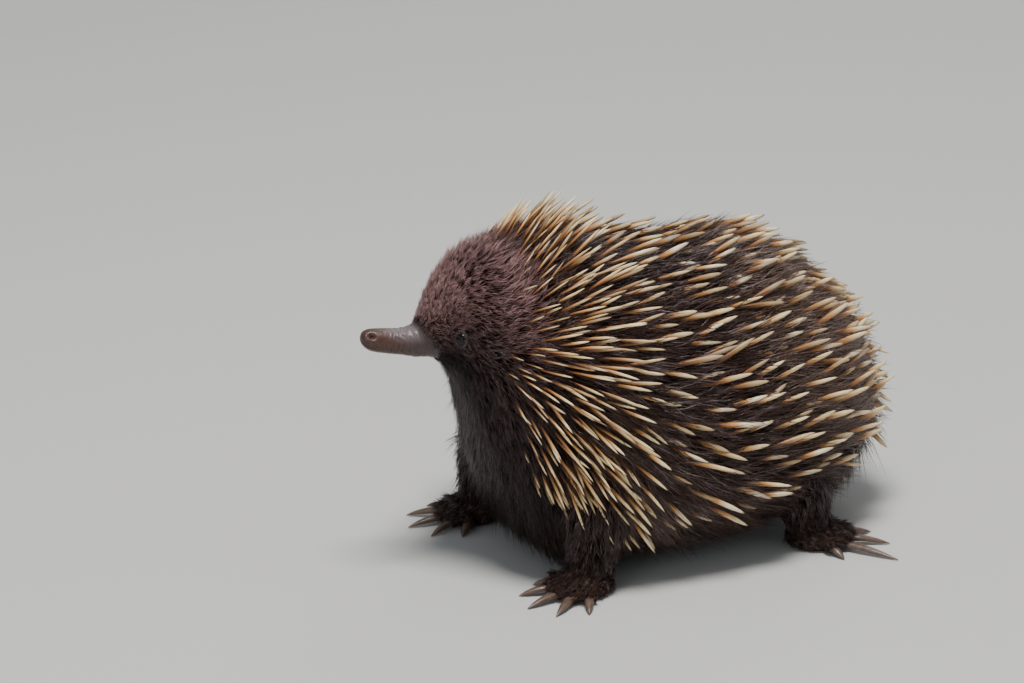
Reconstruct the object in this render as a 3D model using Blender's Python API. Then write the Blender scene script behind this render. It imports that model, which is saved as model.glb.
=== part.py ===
"""A short-beaked echidna, life size, standing with its beak held level and turned a little aside.

The body is one loft from rump to beak tip, drawn through upright sections. Each section has a widest
level, a half-width, a height above that level and a depth below it. The loft is parted by thin cuts into
torso, neck, head and beak, and the spines are fused to the node that they grow from.
Metres, +Z up, the floor at z = 0, the animal facing -X with its left side at -Y.
"""

import math

import bmesh
import bpy
import numpy as np
from mathutils import Matrix, Vector

MM = 0.001
GAP = 0.3 * MM

# Puts the middle of the whole animal's outline on the origin
STANCE = (-12 * MM, 0, 0)

# Rear half of the body: half an ellipsoid behind the widest section
WIDEST_X = 33 * MM
REAR_LENGTH = 138 * MM
WIDEST_LEVEL = 64 * MM
REAR_LEVEL = 68 * MM
HALF_WIDTH = 103 * MM
HEIGHT_ABOVE = 137 * MM
DEPTH_BELOW = 56 * MM
REAR_SQUARENESS = 2.25
REAR_ARCH = 2.12
REAR_ANGLES = (90, 78, 64, 48, 32, 16, 0)

# Front half at the coat's outer face, rear to front, in millimetres:
# x, y of the centre, widest level, half-width, height above it, depth below it
FRONT_SECTIONS = (
    (-5, 0, 69, 101, 138, 61),
    (-43, 0, 80, 94, 136, 70),
    (-66, 0.2, 93, 85, 124, 78),
    (-83, 1, 113, 73, 101, 80),
    (-97, 3, 132, 59, 78, 72),
    (-108, 5.2, 146, 46, 60, 45),
    (-117.5, 7.1, 152, 36, 47, 23),
    (-125.5, 8.5, 154, 27.5, 33, 16),
    (-131.5, 9.5, 153.5, 20.5, 20.5, 13),
    (-136, 10.4, 152, 14, 13.5, 11),
    (-139, 11, 151, 10.5, 10.5, 10),
    (-143, 11.8, 151, 9, 9, 9),
    (-149, 13.1, 151.5, 7.8, 8, 8),
    (-159, 15.3, 153, 7.2, 7.5, 7.5),
    (-166, 16.8, 154.2, 6.6, 6.6, 6.8),
    (-170, 17.6, 155, 4.9, 4.7, 4.9),
    (-172.2, 18.1, 155.4, 0, 0, 0),
)
UNDERSIDE_FULLNESS = 0.75

# How far the solids lie inside the coat's outer face: on the face, on the belly and under the spines
FACE_DEPTH = 1.0 * MM
BELLY_DEPTH = 3.5 * MM
CORE_DEPTH = 8.0 * MM
DEEP_FROM_X, DEEP_TO_X = -104 * MM, -62 * MM

# Where the loft is parted, as x of its centre line, and how far the beak's edge leans forward at its top
BEAK_CUT_X = -137.5 * MM
BEAK_CUT_LEAN = math.radians(-14)
HEAD_CUT_X = -97 * MM
NECK_CUT_X = -58 * MM

# Spacing of the sections in the mesh, from x, and the corners of each section
SECTION_SPACING = ((-170 * MM, 4.2 * MM), (-138 * MM, 4 * MM), (-100 * MM, 8 * MM), (-50 * MM, 14 * MM))
SIDES = 28

# Eyes and what surrounds them, as places on the head: x of the section and angle above the side
EYE_X, EYE_ANGLE = -121.5 * MM, math.radians(10)
EYE_RADIUS = 4.4 * MM
EYE_SUNK = 2.9 * MM
LID_LENGTH, LID_HEIGHT, LID_THICKNESS = 5.2 * MM, 3.4 * MM, 1.0 * MM
EAR_X, EAR_ANGLE = -106.5 * MM, math.radians(8)
EAR_HEIGHT, EAR_WIDTH, EAR_RIM = 7.0 * MM, 2.6 * MM, 1.1 * MM
NOSTRIL_BACK, NOSTRIL_ANGLE, NOSTRIL_RADIUS = 6.0 * MM, math.radians(37), 1.3 * MM
MOUTH_LENGTH, MOUTH_ANGLE, MOUTH_GROOVE = 12 * MM, math.radians(-32), 0.5 * MM

# Limbs on the left side: shoulder or hip, knee, ankle and middle of the sole, with the radii there
FORE_PATH = ((-44, -46, 70), (-55, -64, 46), (-60, -67, 24), (-63, -68, 8))
FORE_RADII = (26, 21, 16, 13)
FORE_HEADING = math.radians(188)
FORE_CLAWS = (11, 17, 20, 19, 14)
HIND_PATH = ((80, -48, 60), (88, -64, 40), (92, -70, 22), (95, -72, 8))
HIND_RADII = (30, 24, 17, 13)
HIND_HEADING = math.radians(-32)
HIND_CLAWS = (10, 34, 23, 17, 12)
ANKLE_LEVEL = 18 * MM
PALM = (22 * MM, 17.5 * MM, 11 * MM)
TOE_SPREAD = math.radians(26)
TOE_REACH = 27 * MM
TOE_RADIUS = 4.4 * MM
TOE_END = 3.3 * MM
CLAW_RADIUS = 3.0 * MM
CLAW_STEPS = 4
CLAW_TIP_CLEARANCE = 0.5 * MM

# Tail: a short stub under the rump
TAIL_PATH = ((138, 0, 44), (152, 0, 41), (164, 0, 37), (172, 0, 33))
TAIL_RADII = (15, 12, 8, 4)

# Spines
SPINE_SEED = 11
SPINE_SIDES = 3
SPINE_ROOT_SHARE = 0.8
SPINE_SHOULDER = 0.55
BACK_SPINE, BACK_SPINE_RADIUS = 47 * MM, 1.9 * MM
NECK_SPINE, NECK_SPINE_RADIUS = 37 * MM, 1.5 * MM
BACK_SPACING, NECK_SPACING = 11.0 * MM, 8.2 * MM
SPINE_ROOT_DEPTH, SPINE_LEAST_DEPTH = 4.0 * MM, 1.9 * MM
LIFT_BACK = math.radians(20)
LIFT_CREST = math.radians(38)
LIFT_RUMP = math.radians(34)
RUMP_SHORTENING = 0.04
LEAST_RUN = 0.4
FAN_CENTRE = np.array((-108, 0, 148)) * MM
SPINE_CLEARANCE = 0.5 * MM
LIMB_CLEARANCE = 1.5 * MM

# Where the spines end: the foremost station by the angle in degrees, and the lowest angle by station
FOREMOST_ANGLES = (-60, -17, 2, 28, 42, 57, 74, 90)
FOREMOST_STATIONS = np.array((262, 262, 262, 260, 256, 251, 250, 252)) * MM
LOWEST_STATIONS = np.array((0, 200, 240, 262)) * MM
LOWEST_ANGLES = (-31, -31, -50, -60)


def pchip(knots, values, at):
    """Smooth monotone interpolation, so that no section bulges between two stations."""
    step = np.diff(knots)
    rise = np.diff(values) / step
    slope = np.zeros(len(knots))
    for i in range(1, len(knots) - 1):
        if rise[i - 1] * rise[i] > 0:
            before = 2 * step[i] + step[i - 1]
            after = step[i] + 2 * step[i - 1]
            slope[i] = (before + after) / (before / rise[i - 1] + after / rise[i])
    slope[0], slope[-1] = rise[0], rise[-1]
    i = np.clip(np.searchsorted(knots, at, side="right") - 1, 0, len(step) - 1)
    t = (at - knots[i]) / step[i]
    return (
        (1 + 2 * t) * (1 - t) ** 2 * values[i]
        + t * (1 - t) ** 2 * step[i] * slope[i]
        + t**2 * (3 - 2 * t) * values[i + 1]
        + t**2 * (t - 1) * step[i] * slope[i + 1]
    )


def smoothstep(low, high, value):
    t = np.clip((np.asarray(value, float) - low) / (high - low), 0, 1)
    return t * t * (3 - 2 * t)


def body_sections():
    """All sections, rump to beak tip, as rows of x, y, level, half-width, height and depth in metres."""
    rows = []
    for degrees in REAR_ANGLES:
        along = math.sin(math.radians(degrees))
        arch = max(0.0, 1 - along**REAR_ARCH) ** (1 / REAR_ARCH)
        broad = max(0.0, 1 - along**REAR_SQUARENESS) ** (1 / REAR_SQUARENESS)
        level = WIDEST_LEVEL + (REAR_LEVEL - WIDEST_LEVEL) * along
        centre = (WIDEST_X + REAR_LENGTH * along, 0.0, level)
        rows.append((*centre, HALF_WIDTH * broad, HEIGHT_ABOVE * arch, DEPTH_BELOW * broad))
    return np.array(rows + [[v * MM for v in row] for row in FRONT_SECTIONS])


SECTIONS = body_sections()
STATION = np.concatenate([[0.0], np.cumsum(np.hypot(*np.diff(SECTIONS[:, :2], axis=0).T))])
LENGTH = STATION[-1]


def station_at(x):
    """Distance along the centre line from the rump to where its x is the one asked for."""
    return float(np.interp(-x, -SECTIONS[:, 0], STATION))


def centre_line(s):
    return np.stack([pchip(STATION, SECTIONS[:, i], s) for i in range(3)], axis=-1)


def coat_point(s, angle):
    """Outer face of the coat at distance s from the rump. Angle 0 is the left side and 90 degrees the back."""
    s, angle = np.broadcast_arrays(np.asarray(s, float), np.asarray(angle, float))
    s = np.clip(s, 0, LENGTH)
    centre = centre_line(s)
    inner = np.clip(s, 2 * MM, LENGTH - 2 * MM)
    ahead = centre_line(inner + MM) - centre_line(inner - MM)
    heading = ahead[..., :2] / np.linalg.norm(ahead[..., :2], axis=-1, keepdims=True)
    # Radii are interpolated by their squares, so that both ends close round
    squares = [pchip(STATION, SECTIONS[:, i] ** 2, s) for i in (3, 4, 5)]
    width, above, below = (np.sqrt(np.clip(square, 0, None)) for square in squares)
    cos, sin = np.cos(angle), np.sin(angle)
    full = np.sign(cos) * np.abs(cos) ** UNDERSIDE_FULLNESS
    aside = width * np.where(sin < 0, full, cos)
    up = np.where(sin < 0, below, above) * sin
    return centre + np.stack([-heading[..., 1] * aside, heading[..., 0] * aside, up], axis=-1)


def coat_normal(s, angle):
    """Outward normal of the coat's outer face."""
    step_s, step_a = 0.5 * MM, 0.01
    s = np.clip(s, 2 * step_s, LENGTH - 2 * step_s)
    along = coat_point(s + step_s, angle) - coat_point(s - step_s, angle)
    around = coat_point(s, angle + step_a) - coat_point(s, angle - step_a)
    normal = np.cross(around, along)
    return normal / np.linalg.norm(normal, axis=-1, keepdims=True)


def core_depth(s, angle):
    """The solids' depth below the coat: none on the beak, little on the face, more under the spines."""
    x = centre_line(np.asarray(s, float))[..., 0]
    under = smoothstep(0.45, 0.9, -np.sin(angle))
    spiny = CORE_DEPTH + (BELLY_DEPTH - CORE_DEPTH) * under
    face = FACE_DEPTH * smoothstep(-138 * MM, -130 * MM, x)
    return face + (spiny - FACE_DEPTH) * smoothstep(DEEP_FROM_X, DEEP_TO_X, x)


def core_point(s, angle, grow=0.0):
    """A point of the solid body, grown outward where asked."""
    s, angle = np.broadcast_arrays(np.asarray(s, float), np.asarray(angle, float))
    return coat_point(s, angle) - (core_depth(s, angle) - grow)[..., None] * coat_normal(s, angle)


def side_angle(angle, side):
    """The same place on the left side (-1) or the right side (1)."""
    return angle if side < 0 else math.pi - angle


def new_material(name, colour, roughness):
    made = bpy.data.materials.new(name)
    made.use_nodes = True
    shader = made.node_tree.nodes["Principled BSDF"]
    shader.inputs["Base Color"].default_value = (*colour, 1)
    shader.inputs["Roughness"].default_value = roughness
    shader.inputs["Metallic"].default_value = 0.0
    made.diffuse_color = (*colour, 1)
    return made


def new_object(name, bm, finish):
    mesh = bpy.data.meshes.new(name)
    bmesh.ops.recalc_face_normals(bm, faces=bm.faces)
    bm.to_mesh(mesh)
    bm.free()
    mesh.materials.append(finish)
    made = bpy.data.objects.new(name, mesh)
    bpy.context.scene.collection.objects.link(made)
    return made


def ring_skin(rings, first_pole=None, last_pole=None):
    """A closed skin through rings of equal count. Each end closes on a pole, by default its ring's middle."""
    bm = bmesh.new()
    loops = [[bm.verts.new(p) for p in ring] for ring in rings]
    count = len(loops[0])
    for one, two in zip(loops, loops[1:]):
        for i in range(count):
            j = (i + 1) % count
            bm.faces.new((one[i], one[j], two[j], two[i]))
    for loop, pole in ((loops[0], first_pole), (loops[-1], last_pole)):
        middle = sum((v.co for v in loop), Vector()) / count
        tip = bm.verts.new(pole or middle)
        for i in range(count):
            bm.faces.new((loop[i], loop[(i + 1) % count], tip))
    bmesh.ops.triangulate(bm, faces=bm.faces)
    bmesh.ops.recalc_face_normals(bm, faces=bm.faces)
    return bm


def tube_skin(path, radii, sides, flatten=1.0, pointed=False):
    """A closed tube along a path, with a radius at each point. flatten scales its upright radius."""
    path = [Vector(p) for p in path]
    rings = []
    for i, point in enumerate(path):
        ahead = (path[min(i + 1, len(path) - 1)] - path[max(i - 1, 0)]).normalized()
        across = ahead.cross(Vector((0, 0, 1)))
        across = across.normalized() if across.length > 0.05 else Vector((0, 1, 0))
        up = across.cross(ahead)
        turns = [2 * math.pi * k / sides for k in range(sides)]
        rings.append(
            [
                point + (across * math.cos(t) + up * math.sin(t) * flatten) * radii[i]
                for t in turns
            ]
        )
    if pointed:
        return ring_skin(rings[:-1], last_pole=path[-1])
    return ring_skin(rings)


def smooth_path(points, radii, steps):
    """Points in millimetres and their radii, read more finely from a smooth curve through them."""
    points = np.array(points, float) * MM
    radii = np.array(radii, float) * MM
    knots = np.arange(len(points), dtype=float)
    at = np.linspace(0, knots[-1], steps)
    fine = np.stack([pchip(knots, points[:, i], at) for i in range(3)], axis=-1)
    return [Vector(p) for p in fine], list(pchip(knots, radii, at))


def section_stations():
    """Stations of the mesh's sections, closer together towards the beak and at both rounded ends."""
    stations, s = [0.6 * MM, 2.4 * MM, 5.5 * MM, 10 * MM], 17 * MM
    xs = [row[0] for row in SECTION_SPACING]
    steps = [row[1] for row in SECTION_SPACING]
    while s < LENGTH - 1.6 * MM:
        stations.append(s)
        s += float(np.interp(centre_line(s)[0], xs, steps))
    return stations + [LENGTH - 1.2 * MM, LENGTH - 0.3 * MM]


def body_skin(grow=0.0):
    """The whole body from rump to beak tip as one closed skin."""
    angles = np.linspace(0, 2 * math.pi, SIDES, endpoint=False)
    rings = [[Vector(p) for p in core_point(s, angles, grow)] for s in section_stations()]
    rump = Vector(core_point(0.0, 0.0, grow))
    rump.y = 0
    rump.z = centre_line(0.0)[2]
    tip = Vector(centre_line(LENGTH)) + Vector((-grow, 0, 0))
    return ring_skin(rings, rump, tip)


def body_plane(x, lean=0.0):
    """A plane across the body, its normal towards the beak. A lean tips the normal up or down."""
    s = station_at(x)
    ahead = Vector(centre_line(s + MM) - centre_line(s - MM))
    level = Vector((ahead.x, ahead.y, 0)).normalized()
    return Vector(centre_line(s)), level * math.cos(lean) + Vector((0, 0, math.sin(lean)))


BEAK_PLANE = body_plane(BEAK_CUT_X, BEAK_CUT_LEAN)
HEAD_PLANE = body_plane(HEAD_CUT_X)
NECK_PLANE = body_plane(NECK_CUT_X)


def trim(bm, point, normal):
    """Cuts off what lies on the normal's side of the plane and closes the cut with a flat face."""
    geometry = list(bm.verts) + list(bm.edges) + list(bm.faces)
    cut = bmesh.ops.bisect_plane(
        bm, geom=geometry, dist=1e-7, plane_co=point, plane_no=normal, clear_outer=True
    )
    edges = [e for e in cut["geom_cut"] if isinstance(e, bmesh.types.BMEdge)]
    bmesh.ops.edgeloop_fill(bm, edges=edges)
    bmesh.ops.triangulate(bm, faces=[f for f in bm.faces if len(f.verts) > 3])
    return bm


def between(bm, behind=None, front=None):
    """The length of a skin between two planes, each face half a gap inside its plane."""
    if front:
        point, normal = front
        trim(bm, point - normal * GAP / 2, normal)
    if behind:
        point, normal = behind
        trim(bm, point + normal * GAP / 2, -normal)
    return bm


def largest_body(mesh):
    """Keeps the closed surface that spans the most, without scraps and sealed hollows left by a union."""
    bm = bmesh.new()
    bm.from_mesh(mesh)
    seen, groups = set(), []
    for face in bm.faces:
        if face in seen:
            continue
        group, waiting = [], [face]
        seen.add(face)
        while waiting:
            one = waiting.pop()
            group.append(one)
            for edge in one.edges:
                for other in edge.link_faces:
                    if other not in seen:
                        seen.add(other)
                        waiting.append(other)
        groups.append(group)

    def span(group):
        points = np.array([v.co for face in group for v in face.verts])
        return float(np.prod(points.max(axis=0) - points.min(axis=0)))

    kept = set(max(groups, key=span))
    bmesh.ops.delete(bm, geom=[f for f in bm.faces if f not in kept], context="FACES")
    bm.to_mesh(mesh)
    bm.free()


def combine(obj, pieces, operation="UNION", solver="EXACT"):
    """Fuses pieces to an object, or cuts them from it, and removes them."""
    group = bpy.data.collections.new(obj.name + "_pieces")
    for piece in pieces:
        group.objects.link(piece)
    change = obj.modifiers.new("Boolean", "BOOLEAN")
    change.operation = operation
    change.operand_type = "COLLECTION"
    change.collection = group
    change.solver = solver
    bpy.context.view_layer.update()
    graph = bpy.context.evaluated_depsgraph_get()
    made = bpy.data.meshes.new_from_object(obj.evaluated_get(graph))
    obj.modifiers.clear()
    obj.data = made
    for piece in pieces:
        bpy.data.objects.remove(piece)
    bpy.data.collections.remove(group)
    largest_body(made)
    return obj


def surface_frame(s, angle):
    """A place on the body with its normal, its direction towards the beak and the one across them."""
    point = Vector(core_point(s, angle))
    normal = Vector(coat_normal(s, angle))
    ahead = Vector(coat_point(s + MM, angle) - coat_point(s - MM, angle))
    ahead = (ahead - normal * ahead.dot(normal)).normalized()
    return point, normal, ahead, normal.cross(ahead)


def closed_loop_skin(place, half_length, half_height, radius, sides=4, count=12, sunk=0.25):
    """A ring of round stock lying on the surface, for the rim of an eye or an ear."""
    point, normal, ahead, up = place
    bm = bmesh.new()
    loops = []
    for i in range(count):
        turn = 2 * math.pi * i / count
        out = ahead * math.cos(turn) * half_length + up * math.sin(turn) * half_height
        away = out.normalized()
        loop = []
        for k in range(sides):
            t = 2 * math.pi * k / sides
            offset = away * math.cos(t) + normal * math.sin(t)
            loop.append(bm.verts.new(point + out - normal * radius * sunk + offset * radius))
        loops.append(loop)
    for i in range(count):
        one, two = loops[i], loops[(i + 1) % count]
        for k in range(sides):
            j = (k + 1) % sides
            bm.faces.new((one[k], one[j], two[j], two[k]))
    bmesh.ops.triangulate(bm, faces=bm.faces)
    bmesh.ops.recalc_face_normals(bm, faces=bm.faces)
    return bm


def ball_skin(centre, axes, radii, segments=10, rings=7):
    """An ellipsoid with its radii along three axes."""
    bm = bmesh.new()
    bmesh.ops.create_uvsphere(bm, u_segments=segments, v_segments=rings, radius=1.0)
    x, y, z = (Vector(a) * r for a, r in zip(axes, radii))
    turn = Matrix((x, y, z)).transposed().to_4x4()
    bmesh.ops.transform(bm, matrix=Matrix.Translation(centre) @ turn, verts=bm.verts)
    bmesh.ops.triangulate(bm, faces=bm.faces)
    return bm


def eye_centre(side):
    point, normal, *_ = surface_frame(station_at(EYE_X), side_angle(EYE_ANGLE, side))
    return point - normal * EYE_SUNK


def make_beak(finish):
    """The bare beak with its nostrils and the line of its small mouth."""
    obj = new_object("beak", between(body_skin(), behind=BEAK_PLANE), finish)
    cutters = []
    for side in (-1, 1):
        angle = side_angle(NOSTRIL_ANGLE, side)
        point, normal, ahead, up = surface_frame(LENGTH - NOSTRIL_BACK, angle)
        sizes = (NOSTRIL_RADIUS * 1.6, NOSTRIL_RADIUS * 0.8, NOSTRIL_RADIUS)
        cutters.append(new_object("nostril", ball_skin(point, (ahead, up, normal), sizes, 8, 6), finish))
    left = [(LENGTH - back, MOUTH_ANGLE) for back in np.linspace(MOUTH_LENGTH, 1.2 * MM, 6)]
    right = [(s, math.pi - angle) for s, angle in reversed(left)]
    path = [core_point(s, angle) for s, angle in left + right]
    groove = tube_skin(path, [MOUTH_GROOVE] * len(path), 4)
    cutters.append(new_object("mouth", groove, finish))
    return combine(obj, cutters, "DIFFERENCE")


def make_head(finish):
    """The furred head with a socket and lids for each eye and the rimmed slit of each ear."""
    obj = new_object("head", between(body_skin(), behind=HEAD_PLANE, front=BEAK_PLANE), finish)
    rims, cutters = [], []
    for side in (-1, 1):
        eye = surface_frame(station_at(EYE_X), side_angle(EYE_ANGLE, side))
        rims.append(
            new_object("lids", closed_loop_skin(eye, LID_LENGTH, LID_HEIGHT, LID_THICKNESS), finish)
        )
        ear = surface_frame(station_at(EAR_X), side_angle(EAR_ANGLE, side))
        rims.append(
            new_object("ear_rim", closed_loop_skin(ear, EAR_WIDTH, EAR_HEIGHT, EAR_RIM), finish)
        )
        axes = ((1, 0, 0), (0, 1, 0), (0, 0, 1))
        socket = ball_skin(eye_centre(side), axes, [EYE_RADIUS + GAP] * 3, 10, 6)
        cutters.append(new_object("socket", socket, finish))
        point, normal, ahead, up = ear
        slit_sizes = (EAR_WIDTH * 0.5, EAR_HEIGHT * 0.8, 3.0 * MM)
        slit = ball_skin(point, (ahead, up, normal), slit_sizes, 10, 6)
        cutters.append(new_object("ear_slit", slit, finish))
    combine(obj, rims)
    return combine(obj, cutters, "DIFFERENCE")


def make_eye(side, finish):
    name = "eye_left" if side < 0 else "eye_right"
    bm = ball_skin((0, 0, 0), ((1, 0, 0), (0, 1, 0), (0, 0, 1)), [EYE_RADIUS] * 3, 10, 7)
    obj = new_object(name, bm, finish)
    obj.location = eye_centre(side)
    return obj


def spine_skin(root, direction, length, radius):
    """One spine: a tapering quill, widest below its middle, that ends in a point."""
    turn = direction.to_track_quat("Z", "Y").to_matrix()
    rings = []
    for share, size in ((0.0, SPINE_ROOT_SHARE), (SPINE_SHOULDER, 1.0)):
        ring = []
        for i in range(SPINE_SIDES):
            t = 2 * math.pi * i / SPINE_SIDES
            local = Vector((math.cos(t) * radius * size, math.sin(t) * radius * size, share * length))
            ring.append(root + turn @ local)
        rings.append(ring)
    return ring_skin(rings, last_pole=root + direction * length)


def rump_share(normal):
    """One where the body faces backwards, and nothing on back and flanks."""
    return smoothstep(0.6, 0.92, normal[0])


def spine_way(point, normal):
    """Spines fan out from behind the face over the shoulders, point backwards on the back and stand up
    on the rump, where they turn down towards the tail."""
    x, y, z = point
    fan = (point - FAN_CENTRE) * np.array([1, 0.55, 1])
    fan = fan / np.linalg.norm(fan)
    rearward = smoothstep(-70 * MM, 22 * MM, x - 0.4 * max(0.0, 0.13 - z))
    under = smoothstep(0.1, -0.35, normal[2])
    pole = smoothstep(0, 1, (normal[0] - 0.8 + 0.6 * under) / (0.15 + 0.25 * under))
    straight = np.array((1, 0, 0.2)) * (1 - pole) + np.array((0, 0, -1)) * pole
    wish = fan * (1 - rearward) + straight * rearward
    wish = wish / np.linalg.norm(wish)
    rise = float(wish @ normal)
    flat = wish - rise * normal
    crest = smoothstep(0.55, 0.95, normal[2]) * (1 - smoothstep(-85 * MM, 10 * MM, x))
    lift = LIFT_BACK + (LIFT_CREST - LIFT_BACK) * float(crest) + LIFT_RUMP * float(rump_share(normal))
    way = flat + normal * max(float(np.linalg.norm(flat)), LEAST_RUN) * math.tan(lift)
    return way / np.linalg.norm(way)


def spread_places(rng, darts=20000):
    """Places for spines, spread evenly over the back and sides, closer together on the neck."""
    widest = math.radians(-min(LOWEST_ANGLES))
    s = rng.uniform(0.5 * MM, FOREMOST_STATIONS.max(), darts)
    angle = rng.uniform(-widest, math.pi + widest, darts)
    fold = np.degrees(np.arcsin(np.sin(angle)))
    foremost = np.interp(fold, FOREMOST_ANGLES, FOREMOST_STATIONS)
    spiny = (s < foremost) & (fold > np.interp(s, LOWEST_STATIONS, LOWEST_ANGLES))
    s, angle = s[spiny], angle[spiny]
    step = 0.5 * MM
    along = coat_point(s + step, angle) - coat_point(np.maximum(s - step, 0), angle)
    around = coat_point(s, angle + 0.01) - coat_point(s, angle - 0.01)
    area = np.linalg.norm(np.cross(along, around), axis=-1)
    keep = rng.uniform(0, 1, len(s)) < area / area.max()
    s, angle = s[keep], angle[keep]
    points = core_point(s, angle)
    apart = NECK_SPACING + (BACK_SPACING - NECK_SPACING) * smoothstep(-70 * MM, -20 * MM, points[:, 0])
    kept = []
    for i in range(len(s)):
        if not kept or np.linalg.norm(points[kept] - points[i], axis=1).min() > apart[i]:
            kept.append(i)
    return s[kept], angle[kept]


def ahead_of(plane, points):
    """How far points lie from a plane across the body, towards the beak."""
    return (np.asarray(points) - np.array(plane[0])) @ np.array(plane[1])


def limb_spheres():
    """Centres and radii that fill the limbs and the tail, for spines to stay clear of."""
    spheres = []
    for path, radii in ((FORE_PATH, FORE_RADII), (HIND_PATH, HIND_RADII), (TAIL_PATH, TAIL_RADII)):
        points, sizes = smooth_path(path, radii, 24)
        for mirror in (1, -1):
            for p, r in zip(points, sizes):
                spheres.append((p.x, p.y * mirror, p.z, r))
    return np.array(spheres)


def plan_spines():
    """Every spine as node, root, direction, length and radius, none crossing another or a limb."""
    rng = np.random.default_rng(SPINE_SEED)
    limbs = limb_spheres()
    mesh_s, mesh_a = np.meshgrid(np.linspace(0, LENGTH, 160), np.linspace(0, 2 * math.pi, 120))
    shell = core_point(mesh_s.ravel(), mesh_a.ravel())
    shell_out = coat_normal(mesh_s.ravel(), mesh_a.ravel())
    planned = []
    beads = np.zeros((0, 4))
    shares = np.linspace(0, 1, 12)
    for s, angle in zip(*spread_places(rng)):
        point = core_point(s, angle)
        normal = coat_normal(s, angle)
        way = spine_way(point, normal)
        way = way + rng.normal(0, 0.05, 3)
        way = way / np.linalg.norm(way)
        back = float(smoothstep(-75 * MM, -25 * MM, point[0]))
        length = (NECK_SPINE + (BACK_SPINE - NECK_SPINE) * back) * rng.uniform(0.86, 1.1)
        length *= 1 - RUMP_SHORTENING * float(rump_share(normal))
        radius = NECK_SPINE_RADIUS + (BACK_SPINE_RADIUS - NECK_SPINE_RADIUS) * back
        rise = float(way @ normal)
        node = "torso" if ahead_of(NECK_PLANE, point) < 0 else "neck"
        plane = NECK_PLANE if node == "torso" else HEAD_PLANE
        room = -float(ahead_of(plane, point)) - radius - 2 * GAP
        approach = -float(way @ np.array(plane[1]))
        buried = SPINE_ROOT_DEPTH / rise
        if approach > 0:
            buried = min(buried, room / approach)
        if rise < 0.2 or buried * rise < SPINE_LEAST_DEPTH:
            continue
        root = point - way * buried
        spots = root + way * (shares * length)[:, None]
        girth = radius * np.clip((1 - shares) / (1 - SPINE_SHOULDER), 0.1, 1)
        outer = shares * length > buried + radius / rise
        if (ahead_of(plane, spots) > -girth - GAP).any() or spots[:, 2].min() < 4 * MM:
            continue
        if node == "neck" and (ahead_of(NECK_PLANE, spots[~outer]) < radius + GAP).any():
            continue
        reach = np.linalg.norm(limbs[None, :, :3] - spots[:, None], axis=2)
        if (reach < limbs[None, :, 3] + radius + LIMB_CLEARANCE).any():
            continue
        near = np.linalg.norm(shell[None] - spots[outer][:, None], axis=2).argmin(axis=1)
        above = np.einsum("ij,ij->i", spots[outer] - shell[near], shell_out[near])
        strange = (node == "neck") & (ahead_of(NECK_PLANE, spots[outer]) < radius + GAP)
        if (above < np.where(strange, girth[outer] + 2 * GAP, girth[outer] * 0.6)).any():
            continue
        if len(beads):
            clear = np.linalg.norm(beads[None, :, :3] - spots[:, None], axis=2)
            if (clear < beads[None, :, 3] + girth[:, None] + SPINE_CLEARANCE).any():
                continue
        beads = np.vstack([beads, np.column_stack([spots, girth])])
        planned.append((node, Vector(root), Vector(way), length, radius))
    return planned


def make_trunk(name, behind, front, spines, finish):
    """A length of the trunk with the spines that grow from it."""
    obj = new_object(name, between(body_skin(), behind, front), finish)
    pieces = [
        new_object("spine", spine_skin(root, way, length, radius), finish)
        for node, root, way, length, radius in spines
        if node == name
    ]
    return combine(obj, pieces, solver="MANIFOLD")


def body_cutter(finish):
    """The whole body grown by a gap, for cutting what grows from it to its shape."""
    return new_object("body_cutter", body_skin(grow=GAP), finish)


def make_tail(finish):
    points, radii = smooth_path(TAIL_PATH, TAIL_RADII, 7)
    obj = new_object("tail", tube_skin(points, radii, 14), finish)
    return combine(obj, [body_cutter(finish)], "DIFFERENCE")


def toe_places(end, heading, side):
    """Root, end and heading of each toe's stub, the first toe on the inner side."""
    places = []
    for k in range(5):
        turn = heading + (k - 2) * TOE_SPREAD * (1 if side < 0 else -1)
        out = Vector((math.cos(turn), math.sin(turn), 0))
        reach = TOE_REACH * (1 - 0.03 * (k - 2) ** 2)
        root = Vector((end.x, end.y, 0)) + out * 6 * MM + Vector((0, 0, TOE_RADIUS + 1.5 * MM))
        tip = Vector((end.x, end.y, 0)) + out * reach + Vector((0, 0, TOE_RADIUS))
        places.append((root, tip, out))
    return places


def make_claw(name, tip, out, length, finish):
    """A claw on the end of a toe: round on top, curving down to a point just above the floor."""
    path, radii = [], []
    drop = tip.z - CLAW_TIP_CLEARANCE
    for i in range(CLAW_STEPS + 1):
        t = i / CLAW_STEPS
        path.append(Vector((t * length, 0, -drop * t * t)))
        radii.append(CLAW_RADIUS * (1 - t**1.6))
    obj = new_object(name, tube_skin(path, radii, 5, flatten=0.8, pointed=True), finish)
    obj.location = tip + out * GAP
    obj.rotation_euler = (0, 0, math.atan2(out.y, out.x))
    return obj


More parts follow.
